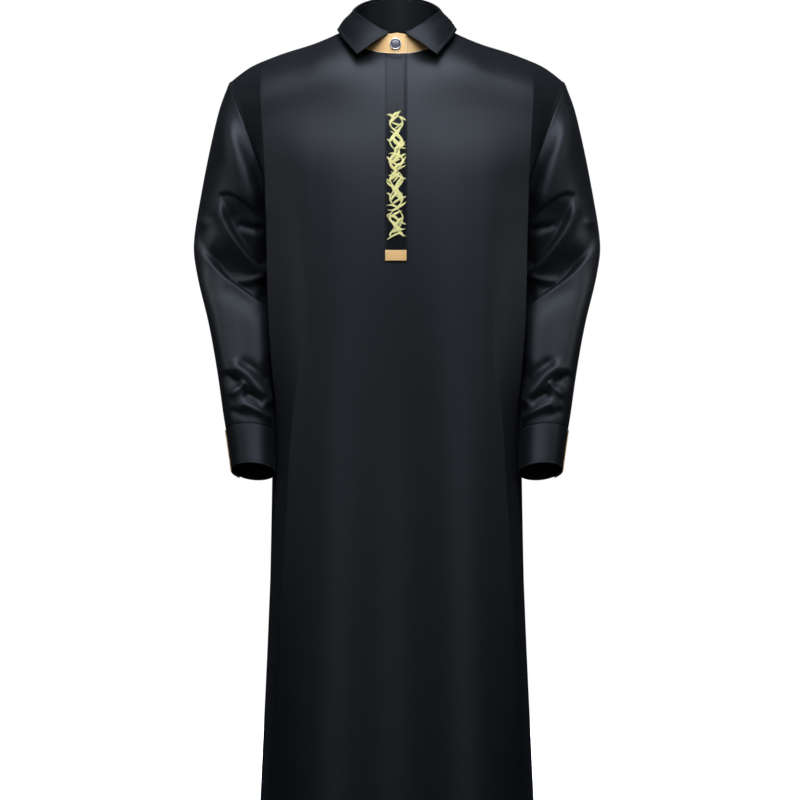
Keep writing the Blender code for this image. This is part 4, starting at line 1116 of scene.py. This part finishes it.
def column_line(grid, normals, inset, from_last=False):
    """The line down a grid at inset from its first or its last column, with its normals."""
    return row_line(grid.transpose(1, 0, 2), normals.transpose(1, 0, 2), inset, from_last)


def part_of(line, start, finish):
    """The stretch of a line, with its normals, between two lengths from its two ends."""
    points, normals = line
    lengths = lengths_along(points, 0)
    kept = (lengths >= start) & (lengths <= lengths[-1] - finish)
    return points[kept], normals[kept]


def lines_inside(outer, normals, inset, runs=(row_line, column_line)):
    """Lines inside both edges of a band, along its rows, its columns or both."""
    return [
        part_of(run(outer, normals, inset, from_last), inset, inset)
        for run in runs
        for from_last in (False, True)
    ]


def sampled(points, lengths, wanted):
    """A path's points at the wanted lengths along it."""
    return np.stack([np.interp(wanted, lengths, points[:, k]) for k in range(3)], -1)


def stitched(lines):
    """The runs of stitches along lines on the cloth, as paths and their upward directions."""
    paths, ups = [], []
    for points, normals in lines:
        lengths = lengths_along(points, 0)
        count = int((lengths[-1] - STITCH_LENGTH) / STITCH_PITCH)
        starts = np.arange(count + 1) * (lengths[-1] - STITCH_LENGTH) / max(count, 1)
        wanted = starts[:, None] + STITCH_LENGTH * np.array(STITCH_PLACES)
        up = unit(sampled(normals, lengths, wanted))
        lift = STITCH_RADIUS * np.array(STITCH_HEIGHTS)
        paths.append(sampled(points, lengths, wanted) + lift[None, :, None] * up)
        ups.append(up)
    return np.concatenate(paths), np.concatenate(ups)


def make_cuffs(cloth, gold):
    """The cuffs, each slit at the outer back, and the gold tabs that close them.

    Returns the lines of their stitching, black and gold, as the other makers do.
    """
    slit, half = math.radians(CUFF_SLIT_ANGLE), math.radians(CUFF_SLIT_HALF)
    width, height = CUFF_SIZE
    last = len(CUFF_RINGS) - 1
    rows = edged(CUFF_CELLS[0], height, CUFF_END_CELLS) * last
    angles = half - slit + edged(CUFF_CELLS[1], width, CUFF_END_CELLS) * 2 * (math.pi - half)
    face, normals = cuff_surface(angles, rows)
    cuff = band_grids(face, normals, CUFF_CLOTH, CUFF_ROUNDING, STITCH_FROM_EDGE)
    rows = edged(CUFF_TAB_CELLS[0], height, TAB_END_CELLS) * last
    first, final = (math.radians(angle) for angle in CUFF_TAB_ANGLES)
    angles = -first - edged(CUFF_TAB_CELLS[1], CUFF_TAB_WIDTH, TAB_END_CELLS) * (final - first)
    under, tab_normals = cuff_surface(angles, rows)
    # The tab reaches below the cuff in its last quarter.
    lower = smooth_step(rows / rows[-1] * 4 - 3) * CUFF_TAB_BELOW
    over = under + (BAND + SEAM_GAP) * tab_normals - lower[:, None, None] * [0.0, 0.0, 1.0]
    tab = band_grids(over, tab_normals, BAND, TAB_ROUNDING, STITCH_FROM_EDGE)
    left_and_right(
        ("cuff_{}_cloth", *cuff, cloth, "black_cloth"),
        ("cuff_tab_{}_cloth", *tab, gold, "gold_cloth"),
    )
    return [
        lines_inside(grid, facing, STITCH_FROM_EDGE)
        + lines_inside(mirrored(grid), mirrored(facing), STITCH_FROM_EDGE)
        for grid, facing in ((cuff[0], normals), (tab[0], tab_normals))
    ]


def make_stand(cloth, gold, edge):
    """The stand's gold outer band and black inner band, overlapping at the centre front.

    Returns its lines of stitching and its outer points.
    """
    length = 2 * math.pi * NECK_HALF_WIDTH + 2 * STAND_END_X
    lap = STAND_LAP / length
    close = np.linspace(0, STAND_LAP, STAND_LAP_CELLS)[:-1] / length
    even = np.linspace(lap, 1 - lap, STAND_CELLS[0])
    along = np.concatenate([close, even, 1 - close[::-1]])
    up = edged(STAND_CELLS[1], STAND_HEIGHT, STAND_ROUNDING)
    grids = []
    for depth_in, groove_in in ((0.0, STITCH_FROM_EDGE), (BAND + SEAM_GAP, None)):
        face, outwards = stand_layer(depth_in, along, up)
        normals = np.broadcast_to(outwards[-1], face.shape)
        grids.append(band_grids(face, normals, BAND, STAND_ROUNDING, groove_in) + (normals,))
    outer, inner, normals = grids[0]
    wall("collar_stand_cloth", outer, inner, gold, "gold_cloth")
    # The raised cord round the lap, in a paler gold that paints the edge's highlight.
    cord = lap_cord(outer, normals)
    threads("stand_edge_highlight", *cord, LAP_CORD_RADIUS, edge, "gold_cloth", flat=LAP_CORD_FLAT)
    top = row_line(outer, normals, STITCH_FROM_EDGE, from_last=True)
    end = column_line(outer, normals, STITCH_FROM_EDGE)
    lines = [part_of(line, *ends) for line, ends in zip((top, end), STAND_STITCH_ENDS)]
    wall("collar_stand_inside_cloth", *grids[1][:2], cloth, "black_cloth")
    return lines, outer


def lap_cord(outer, normals):
    """The raised edge of the stand: under its lap's foot, round the lap's end and over it."""
    # The cord is given a paler gold finish, a painted highlight of the edge.
    foot, head = LAP_CORD_LENGTHS
    foot_line = row_line(outer, normals, LAP_CORD_IN)
    end_line = column_line(outer, normals, LAP_CORD_IN)
    head_line = row_line(outer, normals, LAP_CORD_IN, from_last=True)
    around = lengths_along(outer, 1)[0, -1]
    tall = lengths_along(outer, 0)[-1, 0]
    foot_part = part_of(foot_line, LAP_CORD_IN, around - foot)
    end_part = part_of(end_line, LAP_CORD_IN * 2, tall * 0.1)
    head_part = part_of(head_line, LAP_CORD_IN * 2, around - head)
    lap = [np.concatenate([a[::-1], b, c]) for a, b, c in zip(foot_part, end_part, head_part)]
    under = part_of(foot_line, around - foot, 2 * STAND_END_X)
    paths, ups = [], []
    for points, facing in (lap, under):
        lengths = lengths_along(points, 0)
        wanted = np.linspace(0, lengths[-1], LAP_CORD_POINTS)
        paths.append(sampled(points, lengths, wanted))
        ups.append(unit(sampled(facing, lengths, wanted)))
    return paths, ups


def make_fall(cloth):
    """The pointed collar fall, in one piece round the neck."""
    start = math.radians(FALL_START_ANGLE)
    around, across = FALL_SIZE
    places = edged(FALL_CELLS[0], around, FALL_END_CELLS[0])
    angles = start + places * (2 * np.pi - 2 * start)
    rows = smooth_through(np.linspace(0, 1, len(FALL_ROWS)), FALL_ROWS)
    where = rows(edged(FALL_CELLS[1], across, FALL_END_CELLS[1]))
    face = fall_face(angles, where)
    normals = face_normals(face)
    if normals[len(where) // 2, 0, 1] > 0:
        normals = -normals
    inset = FALL_STITCH_FROM_EDGE
    outer, inner = band_grids(face, normals, FALL_CLOTH, FALL_ROUNDING, inset)
    wall("collar_fall_cloth", outer, inner, cloth, "black_cloth")
    lines = [part_of(row_line(outer, normals, inset, from_last=True), inset, inset)]
    for from_last in (False, True):
        line = column_line(outer, normals, inset, from_last)
        lines.append(part_of(line, FALL_STITCH_START, inset))
    return lines


def front_heights():
    """A function for the front's outer face near its centre, as y and its two slopes."""
    stops = np.concatenate([np.linspace(0, FRONT_SPAN, FRONT_CELLS[0]), [len(SPAN_CELLS)]])
    depths = np.linspace(*FRONT_DEPTHS, FRONT_CELLS[1])
    face = half_panel(FRONT_PANEL, 1, stops, np.zeros(1), depths)[1:, :-1]
    x_grid, z_grid = np.linspace(*FRONT_X, FRONT_STEPS[0]), np.linspace(*FRONT_Z, FRONT_STEPS[1])
    rows = np.array([
        [np.interp(x_grid, row[:, 0], row[:, axis]) for axis in (1, 2)] for row in face
    ])
    heights = np.array([
        np.interp(-z_grid, -rows[:, 1, j], rows[:, 0, j]) for j in range(len(x_grid))
    ])
    slopes = np.gradient(heights, x_grid, z_grid)

    def at(x, z):
        i = np.clip(np.abs(x) / x_grid[-1], 0, 1) * (len(x_grid) - 1)
        j = np.clip((z - z_grid[0]) / (z_grid[-1] - z_grid[0]), 0, 1) * (len(z_grid) - 1)
        i0 = np.minimum(i.astype(int), len(x_grid) - 2)
        j0 = np.minimum(j.astype(int), len(z_grid) - 2)
        u, v = i - i0, j - j0
        found = [
            grid[i0, j0] * (1 - u) * (1 - v)
            + grid[i0 + 1, j0] * u * (1 - v)
            + grid[i0, j0 + 1] * (1 - u) * v
            + grid[i0 + 1, j0 + 1] * u * v
            for grid in (heights, slopes[0], slopes[1])
        ]
        return found[0], found[1] * np.sign(x), found[2]

    return at


def over_front(heights, x, z, lift):
    """Points over the front's face, raised by lift, and the directions they are raised in."""
    x, z = np.asarray(x, float), np.asarray(z, float)
    y, slope_x, slope_z = heights(x, z)
    normals = unit(np.stack([slope_x, -np.ones_like(x), slope_z], -1))
    lift = np.broadcast_to(lift, x.shape)
    return np.stack([x, y, z], -1) + lift[..., None] * normals, normals


def free_rise(x):
    """How far the placket's free edge stands off the front, at each x."""
    return PLACKET_FREE_RISE * smooth_step((x - PLACKET_X[1]) / PLACKET_FREE_WIDTH + 1)


def make_placket(heights, cloth, gold):
    """The placket down the centre front, and the gold tab across its foot."""
    lines = []
    lift, inset = SEAM_GAP, PLACKET_STITCH_FROM_EDGE
    for name, x_range, z_range, cells, thickness, material, slot, runs in (
        ("placket_cloth", PLACKET_X, PLACKET_Z, PLACKET_CELLS, PLACKET_CLOTH, cloth,
         "black_cloth", (column_line,)),
        ("placket_tab_cloth", TAB_X, TAB_Z, TAB_CELLS, BAND, gold,
         "gold_cloth", (column_line, row_line)),
    ):
        width, length = x_range[1] - x_range[0], z_range[0] - z_range[1]
        x = x_range[0] + edged(cells[0], width, TAB_END_CELLS) * width
        z = z_range[0] - edged(cells[1], length, TAB_END_CELLS) * length
        x_grid, z_grid = np.meshgrid(x, z)
        above = lift + thickness + free_rise(x_grid)
        face, normals = over_front(heights, x_grid, z_grid, above)
        outer, inner = band_grids(face, normals, thickness, TAB_ROUNDING, inset)
        wall(name, outer, inner, material, slot)
        lines.append(lines_inside(outer, normals, inset, runs))
        lift += thickness + SEAM_GAP
    return lines


def turned(name, profile, point, outwards, material, slot):
    """A solid turned from a profile of radius and height, which starts and ends on its axis."""
    turns = 2 * np.pi * np.arange(BUTTON_STEPS) / BUTTON_STEPS
    rows = np.array(profile)
    rings = np.stack([
        rows[1:-1, :1] * np.cos(turns),
        rows[1:-1, :1] * np.sin(turns),
        np.repeat(rows[1:-1, 1:], BUTTON_STEPS, axis=1),
    ], -1)
    ends = np.array([[0.0, 0.0, rows[0, 1]], [0.0, 0.0, rows[-1, 1]]])
    vertices = np.concatenate([rings.reshape(-1, 3), ends])
    index = np.arange(len(rows) * BUTTON_STEPS - 2 * BUTTON_STEPS).reshape(-1, BUTTON_STEPS)
    beside = np.roll(index, -1, axis=1)
    quads = np.stack([index[:-1], beside[:-1], beside[1:], index[1:]], -1).reshape(-1, 4)
    foot, top = len(vertices) - 2, len(vertices) - 1
    faces = quads.tolist()
    faces += [[foot, b, a] for a, b in zip(index[0].tolist(), beside[0].tolist())]
    faces += [[top, a, b] for a, b in zip(index[-1].tolist(), beside[-1].tolist())]
    frame_turn = Vector(outwards).to_track_quat("Z", "Y").to_matrix()
    placed = vertices @ np.array(frame_turn).T + point
    return mesh_object(name, placed, faces, material)


def arc(centre, radius, start, finish, steps):
    """Points on an arc in a profile, with angles in degrees."""
    angles = np.radians(np.linspace(start, finish, steps))
    return [
        (centre[0] + radius * math.cos(a), centre[1] + radius * math.sin(a)) for a in angles
    ]


def make_button(stand, steel, enamel):
    """The collar's snap button: a round-edged metal rim, and a dark centre set in its dish."""
    x, z = BUTTON_AT
    front = stand[:, : stand.shape[1] // 2]
    column = np.abs(front[0, :, 0] - x).argmin()
    low, high = front[6, column], front[-7, column]
    point = low + (z - low[2]) / (high[2] - low[2]) * (high - low)
    point[0] = x
    lean = high - low
    outwards = unit(np.array([0.0, -lean[2], lean[1]]))
    bead = BUTTON_RIM / 2
    rim = [(0.0, 0.0), (BUTTON_RADIUS - BUTTON_RIM * BUTTON_FOOT_IN, 0.0)]
    rim += arc((BUTTON_RADIUS - bead, bead), bead, -60, 0, 4)
    rim += arc((BUTTON_RADIUS - bead, BUTTON_HEIGHT - bead), bead, 0, 165, 14)
    rim += [(BUTTON_RADIUS - BUTTON_RIM, BUTTON_DISH), (0.0, BUTTON_DISH)]
    radius, edge = BUTTON_CENTRE_RADIUS, BUTTON_CENTRE_EDGE
    top, drop = BUTTON_DOME
    centre = [(0.0, BUTTON_DISH + SEAM_GAP), (radius, BUTTON_DISH + SEAM_GAP)]
    centre += arc((radius - edge, BUTTON_HEIGHT * BUTTON_CENTRE_SIDE - edge), edge, 0, 70, 5)
    share = np.linspace(0.9, 0, 10)
    centre += [(radius * s, BUTTON_HEIGHT * (top - drop * s * s)) for s in share]
    point = point + SEAM_GAP * outwards
    return [
        turned("neck_button_rim", rim, point, outwards, steel, "steel"),
        turned("neck_button_face", centre, point, outwards, enamel, "enamel"),
    ]


def make_embroidery(heights, thread):
    """The worked strip down the placket: two winding stems with pointed leaves."""
    base = SEAM_GAP + PLACKET_CLOTH
    rng = np.random.default_rng(VINE_SEED)
    paths, ups = [], []

    def stem(t, strand):
        sway = VINE_SWAY * np.sin(2 * np.pi * VINE_TURNS * t + np.pi * strand)
        return np.array([VINE_CENTRE_X + sway, VINE_TOP + (VINE_BOTTOM - VINE_TOP) * t])

    def lay(start, finish, rise):
        u = np.linspace(0, 1, THREAD_POINTS)[:, None]
        line = start + (finish - start) * u
        arch = rise * (THREAD_FOOT + (1 - THREAD_FOOT) * np.sin(np.pi * u[:, 0]) ** 0.6)
        arch += base + free_rise(line[:, 0])
        points, normals = over_front(heights, line[:, 0], line[:, 1], arch)
        paths.append(points)
        ups.append(normals)

    length = VINE_TOP - VINE_BOTTOM
    for strand in (0, 1):
        for t in np.arange(0.0, 1.0, THREAD_PITCH / length):
            here, ahead = stem(t, strand), stem(t + STEM_AHEAD, strand)
            way = unit(ahead - here)
            across = np.array([-way[1], way[0]])
            apart = abs(math.sin(2 * np.pi * VINE_TURNS * t))
            half = STEM_HALF * (STEM_LEAST + (1 - STEM_LEAST) * apart)
            reach = (across + way) * half
            lay(here - reach, here + reach, THREAD_RISE)
    for i in range(LEAF_PAIRS):
        for side in (-1, 1):
            t = i + LEAF_FIRST + LEAF_SECOND * (side > 0) + rng.uniform(-LEAF_SPREAD, LEAF_SPREAD)
            t = np.clip(t / LEAF_PAIRS, *LEAF_PLACES)
            far = int(side * math.sin(2 * np.pi * VINE_TURNS * t) > 0)
            root = stem(t, far if rng.uniform() < LEAF_INWARD else 1 - far)
            room = VINE_HALF_WIDTH - side * (root[0] - VINE_CENTRE_X)
            angle = math.radians(rng.uniform(*LEAF_ANGLE))
            reach = min(room / math.sin(angle), rng.uniform(*LEAF_LENGTH))
            width = rng.uniform(*LEAF_WIDTH)
            rising = 1.0 if rng.uniform() < LEAF_RISING else -1.0
            way = np.array([side * math.sin(angle), rising * math.cos(angle)])
            across = np.array([-way[1], way[0]])
            bend = rng.uniform(*LEAF_BEND) * reach * side * rising

            def spine(s):
                return root + way * reach * s + across * bend * 4 * s * (1 - s)

            def half_width(s):
                return width * np.clip(np.sin(np.pi * np.clip(s, 0, 1) ** 0.75), 0, None) ** 0.8

            for s in np.arange(*LEAF_THREADS, THREAD_PITCH / reach):
                ahead = min(s + LEAF_LEAD, 1.0)
                for hand in (-1, 1):
                    tip = spine(ahead) + across * hand * half_width(ahead)
                    full = half_width(s) / width
                    lay(spine(s), tip, THREAD_RISE * (LEAF_LEAST + (1 - LEAF_LEAST) * full))
    threads("embroidery", paths, ups, THREAD_RADIUS, thread, "gold_cloth", sides=4, ends=0.5)


def set_inputs(node, values):
    """Sets the values of a node's inputs by their names."""
    for name, value in values.items():
        node.inputs[name].default_value = value


def link(tree, *pairs):
    """Joins a tree's nodes: each pair is a node and its output, and a node and its input."""
    for (source, output), (target, entry) in pairs:
        tree.links.new(source.outputs[output], target.inputs[entry])


def make_material(name, colour, roughness, values=None):
    """A new Principled material, with its node tree and shader."""
    material = bpy.data.materials.new(name)
    material.use_nodes = True
    shader = material.node_tree.nodes["Principled BSDF"]
    set_inputs(shader, {"Base Color": (*colour, 1.0), "Roughness": roughness})
    set_inputs(shader, values or {})
    return material, material.node_tree, shader


def woven(name, colour, roughness, gloss, sheen, sheen_tint, pitch, slant, depth):
    """Cloth with a raised weave that runs on the cloth's own measures, in metres."""
    material, tree, shader = make_material(name, colour, roughness, {
        "Specular IOR Level": gloss,
        "Sheen Weight": sheen,
        "Sheen Roughness": 0.45,
        "Sheen Tint": (*sheen_tint, 1.0),
    })
    measures = tree.nodes.new("ShaderNodeTexCoord")
    turn = tree.nodes.new("ShaderNodeMapping")
    set_inputs(turn, {"Rotation": (0.0, 0.0, math.radians(slant))})
    rib = tree.nodes.new("ShaderNodeTexWave")
    set_inputs(
        rib, {"Scale": WAVE_PITCH / pitch, "Distortion": 0.6, "Detail": 1.0, "Detail Scale": 2.0}
    )
    raised = tree.nodes.new("ShaderNodeBump")
    set_inputs(raised, {"Strength": depth, "Distance": WEAVE_HEIGHT})
    link(
        tree,
        ((measures, "UV"), (turn, "Vector")),
        ((turn, "Vector"), (rib, "Vector")),
        ((rib, "Fac"), (raised, "Height")),
        ((raised, "Normal"), (shader, "Normal")),
    )
    return material


def duller_below(material, levels, glosses):
    """Cloth whose gloss falls from the first value to the second between two levels."""
    tree = material.node_tree
    place = tree.nodes.new("ShaderNodeTexCoord")
    parts = tree.nodes.new("ShaderNodeSeparateXYZ")
    fade = tree.nodes.new("ShaderNodeMapRange")
    set_inputs(fade, dict(zip(("From Min", "From Max", "To Min", "To Max"), (*levels, *glosses))))
    link(
        tree,
        ((place, "Object"), (parts, "Vector")),
        ((parts, "Z"), (fade, "Value")),
        ((fade, "Result"), (tree.nodes["Principled BSDF"], "Specular IOR Level")),
    )
    return material


def make_materials():
    """Every finish of the part, by name."""
    finishes = {
        "steel": ((0.62, 0.60, 0.60), 0.22, {"Metallic": 1.0}),
        "enamel": ((0.060, 0.044, 0.056), 0.30, {"Coat Weight": 0.4}),
        "thread": (
            (0.93, 0.84, 0.36), 0.42, {"Sheen Weight": 0.2, "Sheen Tint": (1.0, 0.95, 0.6, 1.0)},
        ),
        "black_thread": ((0.030, 0.031, 0.035), 0.5, {}),
        "gold_thread": ((0.70, 0.50, 0.26), 0.45, {}),
        # A paler gold for the stand's edge cord: a painted highlight.
        "gold_edge_highlight": ((0.95, 0.72, 0.44), 0.4, {}),
    }
    made = {name: make_material(name + "_finish", *look)[0] for name, look in finishes.items()}
    made["cloth"] = woven("black_twill", **BLACK_TWILL)
    placket = woven("placket_twill", **BLACK_TWILL)
    made["placket"] = duller_below(placket, EMBROIDERY_GROUND, EMBROIDERY_GROUND_GLOSS)
    made["fall"] = woven("fall_twill", **{**BLACK_TWILL, "gloss": FALL_GLOSS})
    made["gold"] = woven("gold_satin", **GOLD_SATIN)
    return made


def make_stage():
    """A pale floor, and a white bowl far round it, which light nothing but the picture."""
    turns = 2 * np.pi * np.arange(FLOOR_STEPS) / FLOOR_STEPS
    circle = np.stack([np.cos(turns), np.sin(turns), np.zeros(FLOOR_STEPS)], -1)
    vertices = np.concatenate([np.zeros((1, 3))] + [radius * circle for radius in FLOOR_RADII])
    vertices[:, 2] = FLOOR_LEVEL
    index = 1 + np.arange(len(FLOOR_RADII) * FLOOR_STEPS).reshape(-1, FLOOR_STEPS)
    beside = np.roll(index, -1, axis=1)
    faces = [[0, a, b] for a, b in zip(index[0].tolist(), beside[0].tolist())]
    rings = np.stack([index[:-1], index[1:], beside[1:], beside[:-1]], -1)
    faces += rings.reshape(-1, 4).tolist()
    floor_mesh = bpy.data.meshes.new("floor")
    floor_mesh.from_pydata(vertices.tolist(), [], faces)
    floor = bpy.data.objects.new("floor", floor_mesh)

    build = bmesh.new()
    bmesh.ops.create_uvsphere(build, u_segments=96, v_segments=48, radius=BOWL_RADIUS)
    bowl_mesh = bpy.data.meshes.new("bowl")
    build.to_mesh(bowl_mesh)
    build.free()
    bowl_mesh.shade_smooth()
    bowl = bpy.data.objects.new("bowl", bowl_mesh)

    lit = {"Specular IOR Level": 0.0, "Emission Strength": 1.0}
    pale, tree, shader = make_material("pale_floor", (0.80, 0.80, 0.80), 0.9, lit)
    place = tree.nodes.new("ShaderNodeTexCoord")
    size = tree.nodes.new("ShaderNodeMapping")
    set_inputs(size, {"Scale": (FLOOR_GLOW_SCALE, FLOOR_GLOW_SCALE, 0.0)})
    ball = tree.nodes.new("ShaderNodeTexGradient")
    ball.gradient_type = "SPHERICAL"
    far = tree.nodes.new("ShaderNodeValToRGB")
    outside, centre = far.color_ramp.elements
    outside.color = (1.0, 1.0, 1.0, 1.0)
    centre.position = FLOOR_GLOW_EDGE
    centre.color = (FLOOR_GLOW, FLOOR_GLOW, FLOOR_GLOW, 1.0)
    link(
        tree,
        ((place, "Object"), (size, "Vector")),
        ((size, "Vector"), (ball, "Vector")),
        ((ball, "Fac"), (far, "Fac")),
        ((far, "Color"), (shader, "Emission Color")),
    )
    floor_mesh.materials.append(pale)

    lit["Emission Color"] = (1.0, 1.0, 1.0, 1.0)
    white, _, _ = make_material("white_bowl", (0.0, 0.0, 0.0), 1.0, lit)
    bowl_mesh.materials.append(white)
    for made in (floor, bowl):
        bpy.context.scene.collection.objects.link(made)
        made.visible_diffuse = False
        made.visible_glossy = False
        made.visible_transmission = False
        made.visible_shadow = False


def make_light(name, place, size, spread, power, colour, aim, side=1):
    """A soft rectangular light. With a side of -1, its place and aim are on the -X side."""
    light = bpy.data.lights.new(name, "AREA")
    light.shape = "RECTANGLE"
    light.size, light.size_y = size
    light.spread = math.radians(spread)
    light.energy = power
    light.color = colour
    made = bpy.data.objects.new(name, light)
    place, aim = (Vector((side * x, y, z)) for x, y, z in (place, aim))
    made.location = place
    made.rotation_euler = (aim - place).to_track_quat("-Z", "Y").to_euler()
    made.visible_camera = False
    bpy.context.scene.collection.objects.link(made)


def make_lights():
    """Large lights high in front and overhead, one behind, weak ones about, and a faint sky."""
    for row in LIGHTS:
        make_light(*row)
    for name, *row in TWIN_LIGHTS:
        make_light("left_" + name, *row, side=-1)
        make_light("right_" + name, *row)
    world = bpy.data.worlds.new("sky")
    world.use_nodes = True
    sky = {"Color": (0.95, 0.97, 1.0, 1.0), "Strength": SKY_STRENGTH}
    set_inputs(world.node_tree.nodes["Background"], sky)
    bpy.context.scene.world = world
    bpy.context.scene.view_settings.view_transform = "Standard"


def make_camera():
    """The photograph's camera."""
    lens = bpy.data.cameras.new("camera")
    lens.sensor_width = 36.0
    lens.lens = lens.sensor_width * abs(CAMERA_AT[1]) / VIEW_WIDTH
    lens.clip_end = 50.0
    camera = bpy.data.objects.new("camera", lens)
    camera.location = CAMERA_AT
    camera.rotation_euler = (math.pi / 2, 0.0, 0.0)
    bpy.context.scene.collection.objects.link(camera)
    bpy.context.scene.camera = camera


def main():
    finish = make_materials()
    cloth, gold = finish["cloth"], finish["gold"]
    make_front(cloth)
    make_back(cloth)
    make_sleeves(cloth)
    black_lines, gold_lines = make_cuffs(cloth, gold)
    stand_lines, stand = make_stand(cloth, gold, finish["gold_edge_highlight"])
    fall_lines = make_fall(finish["fall"])
    heights = front_heights()
    placket_lines, tab_lines = make_placket(heights, finish["placket"], gold)
    rim, face = make_button(stand, finish["steel"], finish["enamel"])
    make_embroidery(heights, finish["thread"])
    black_lines += fall_lines + placket_lines
    gold_lines += stand_lines + tab_lines
    for colour, lines in (("black", black_lines), ("gold", gold_lines)):
        threads(
            colour + "_stitching", *stitched(lines), STITCH_RADIUS,
            finish[colour + "_thread"], colour + "_cloth",
        )
    for node, width, length, area, held, carried_by in SHEETS:
        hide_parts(node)
    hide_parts("neck_button")
    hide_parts("neck_button_centre")
    make_stage()
    make_lights()
    make_camera()


main()
